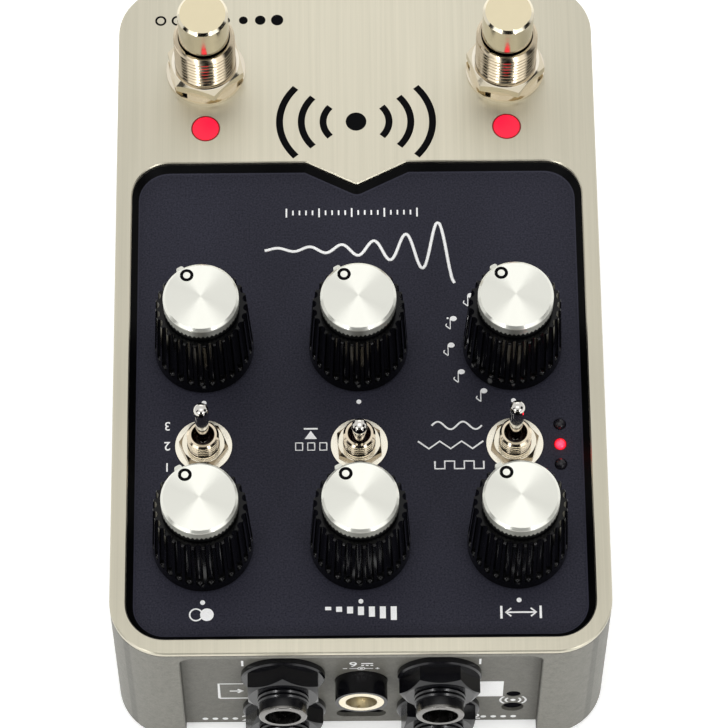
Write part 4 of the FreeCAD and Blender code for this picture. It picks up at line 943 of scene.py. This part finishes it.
def lookingIn(settings):  # where something stands round the object, turned to face it
    azimuth, elevation = (math.radians(settings[key]) for key in ("azimuth", "elevation"))
    out = Vector((math.sin(azimuth) * math.cos(elevation), -math.cos(azimuth) * math.cos(elevation),
                  math.sin(elevation)))
    return Matrix.Translation(out * settings["distance"]) @ out.to_track_quat("Z", "Y").to_matrix().to_4x4()


def softBox(name, settings):
    light = bpy.data.lights.new(name, "AREA")
    light.shape = "RECTANGLE"
    light.size, light.size_y = settings["size"]
    light.energy = settings["power"]
    lamp = bpy.data.objects.new(name, light)
    bpy.context.scene.collection.objects.link(lamp)
    lamp.matrix_world = lookingIn(settings)


def stagePlane(name, matrix, material):  # a square of one metre, stretched and placed
    bm = bmesh.new()
    bmesh.ops.create_grid(bm, x_segments=1, y_segments=1, size=0.5, matrix=matrix)
    plane = bpy.data.objects.new(name, meshFrom(bm, name))
    plane.data.materials.append(material)
    bpy.context.scene.collection.objects.link(plane)


def seenDirectly(material):  # 1 for what the camera, a mirror or glass looks at
    ray = addNode(material, "LightPath").outputs
    mirrored = addNode(material, "Math", {"operation": "MAXIMUM"},
                       {0: ray["Is Glossy Ray"], 1: ray["Is Transmission Ray"]})
    return addNode(material, "Math", {"operation": "MAXIMUM"}, {0: ray["Is Camera Ray"], 1: mirrored})


def whiteWorld():  # soft sky for the object, plain white where the camera, metal or glass sees past the floor
    world = bpy.data.worlds.new("studioSky")
    bpy.context.scene.world = world
    world.use_nodes = True
    background = world.node_tree.nodes["Background"]
    background.inputs["Color"].default_value = toLinear(studio["sky"])
    level = addNode(world, "MapRange", span(0.0, 1.0, studio["skyLevel"], 1.0), {0: seenDirectly(world)})
    feed(world, level, background, "Strength")


def studioPaper():  # matt white paper that glows a little where it is looked at
    material, shader = newMaterial("studioPaper", {
        "Base Color": toLinear(studio["floor"]), "Roughness": 0.9, "Specular IOR Level": 0.1,
        "Emission Color": toLinear(studio["sky"]),
    })[:2]
    glow = addNode(material, "MapRange", span(0.0, 1.0, 0.0, studio["floorGlow"]),
                   {0: seenDirectly(material)})
    feed(material, glow, shader, "Emission Strength")
    return material


view = {  # looks down on the sockets' side
    "target": (-1.03 * mm, 9.04 * mm, 43.0 * mm), "distance": 810.4 * mm,
    "elevation": 64.0, "turn": 0.70, "roll": 0.16, "lens": 213.6, "sensor": 36.0, "far": 20.0,
}


def placeCamera():
    elevation, turnAngle, roll = (math.radians(view[key]) for key in ("elevation", "turn", "roll"))
    back = Vector((math.sin(turnAngle) * math.cos(elevation), math.cos(turnAngle) * math.cos(elevation),
                   math.sin(elevation)))
    level = Vector((0, 0, 1)).cross(back).normalized()
    rise = back.cross(level)
    right = level * math.cos(roll) + rise * math.sin(roll)
    up = rise * math.cos(roll) - level * math.sin(roll)
    lens = bpy.data.cameras.new("camera")
    lens.lens = view["lens"]
    lens.sensor_width = view["sensor"]
    lens.clip_end = view["far"]
    camera = bpy.data.objects.new("camera", lens)
    bpy.context.scene.collection.objects.link(camera)
    turned = Matrix((right, up, back)).transposed().to_4x4()
    camera.matrix_world = Matrix.Translation(Vector(view["target"]) + back * view["distance"]) @ turned
    bpy.context.scene.camera = camera


for name, settings in studio["lamps"].items():
    softBox("lamp_" + name, settings)
flagCloth = mouldedPlastic("flagCloth", {"colour": studio["flag"], "roughness": 0.9, "level": 0.1})
for name, settings in studio["flags"].items():
    flagSize = Matrix.Diagonal((*settings["size"], 1, 1))
    stagePlane("studioFlag_" + name, lookingIn(settings) @ flagSize, flagCloth)
whiteWorld()
floorSize = studio["floorSize"]
stagePlane("studioFloor", Matrix.Translation((0, 0, -studio["floorDrop"]))
           @ Matrix.Diagonal((floorSize, floorSize, 1, 1)), studioPaper())
placeCamera()
bpy.context.scene.view_settings.view_transform = "Standard"
print("studio set")
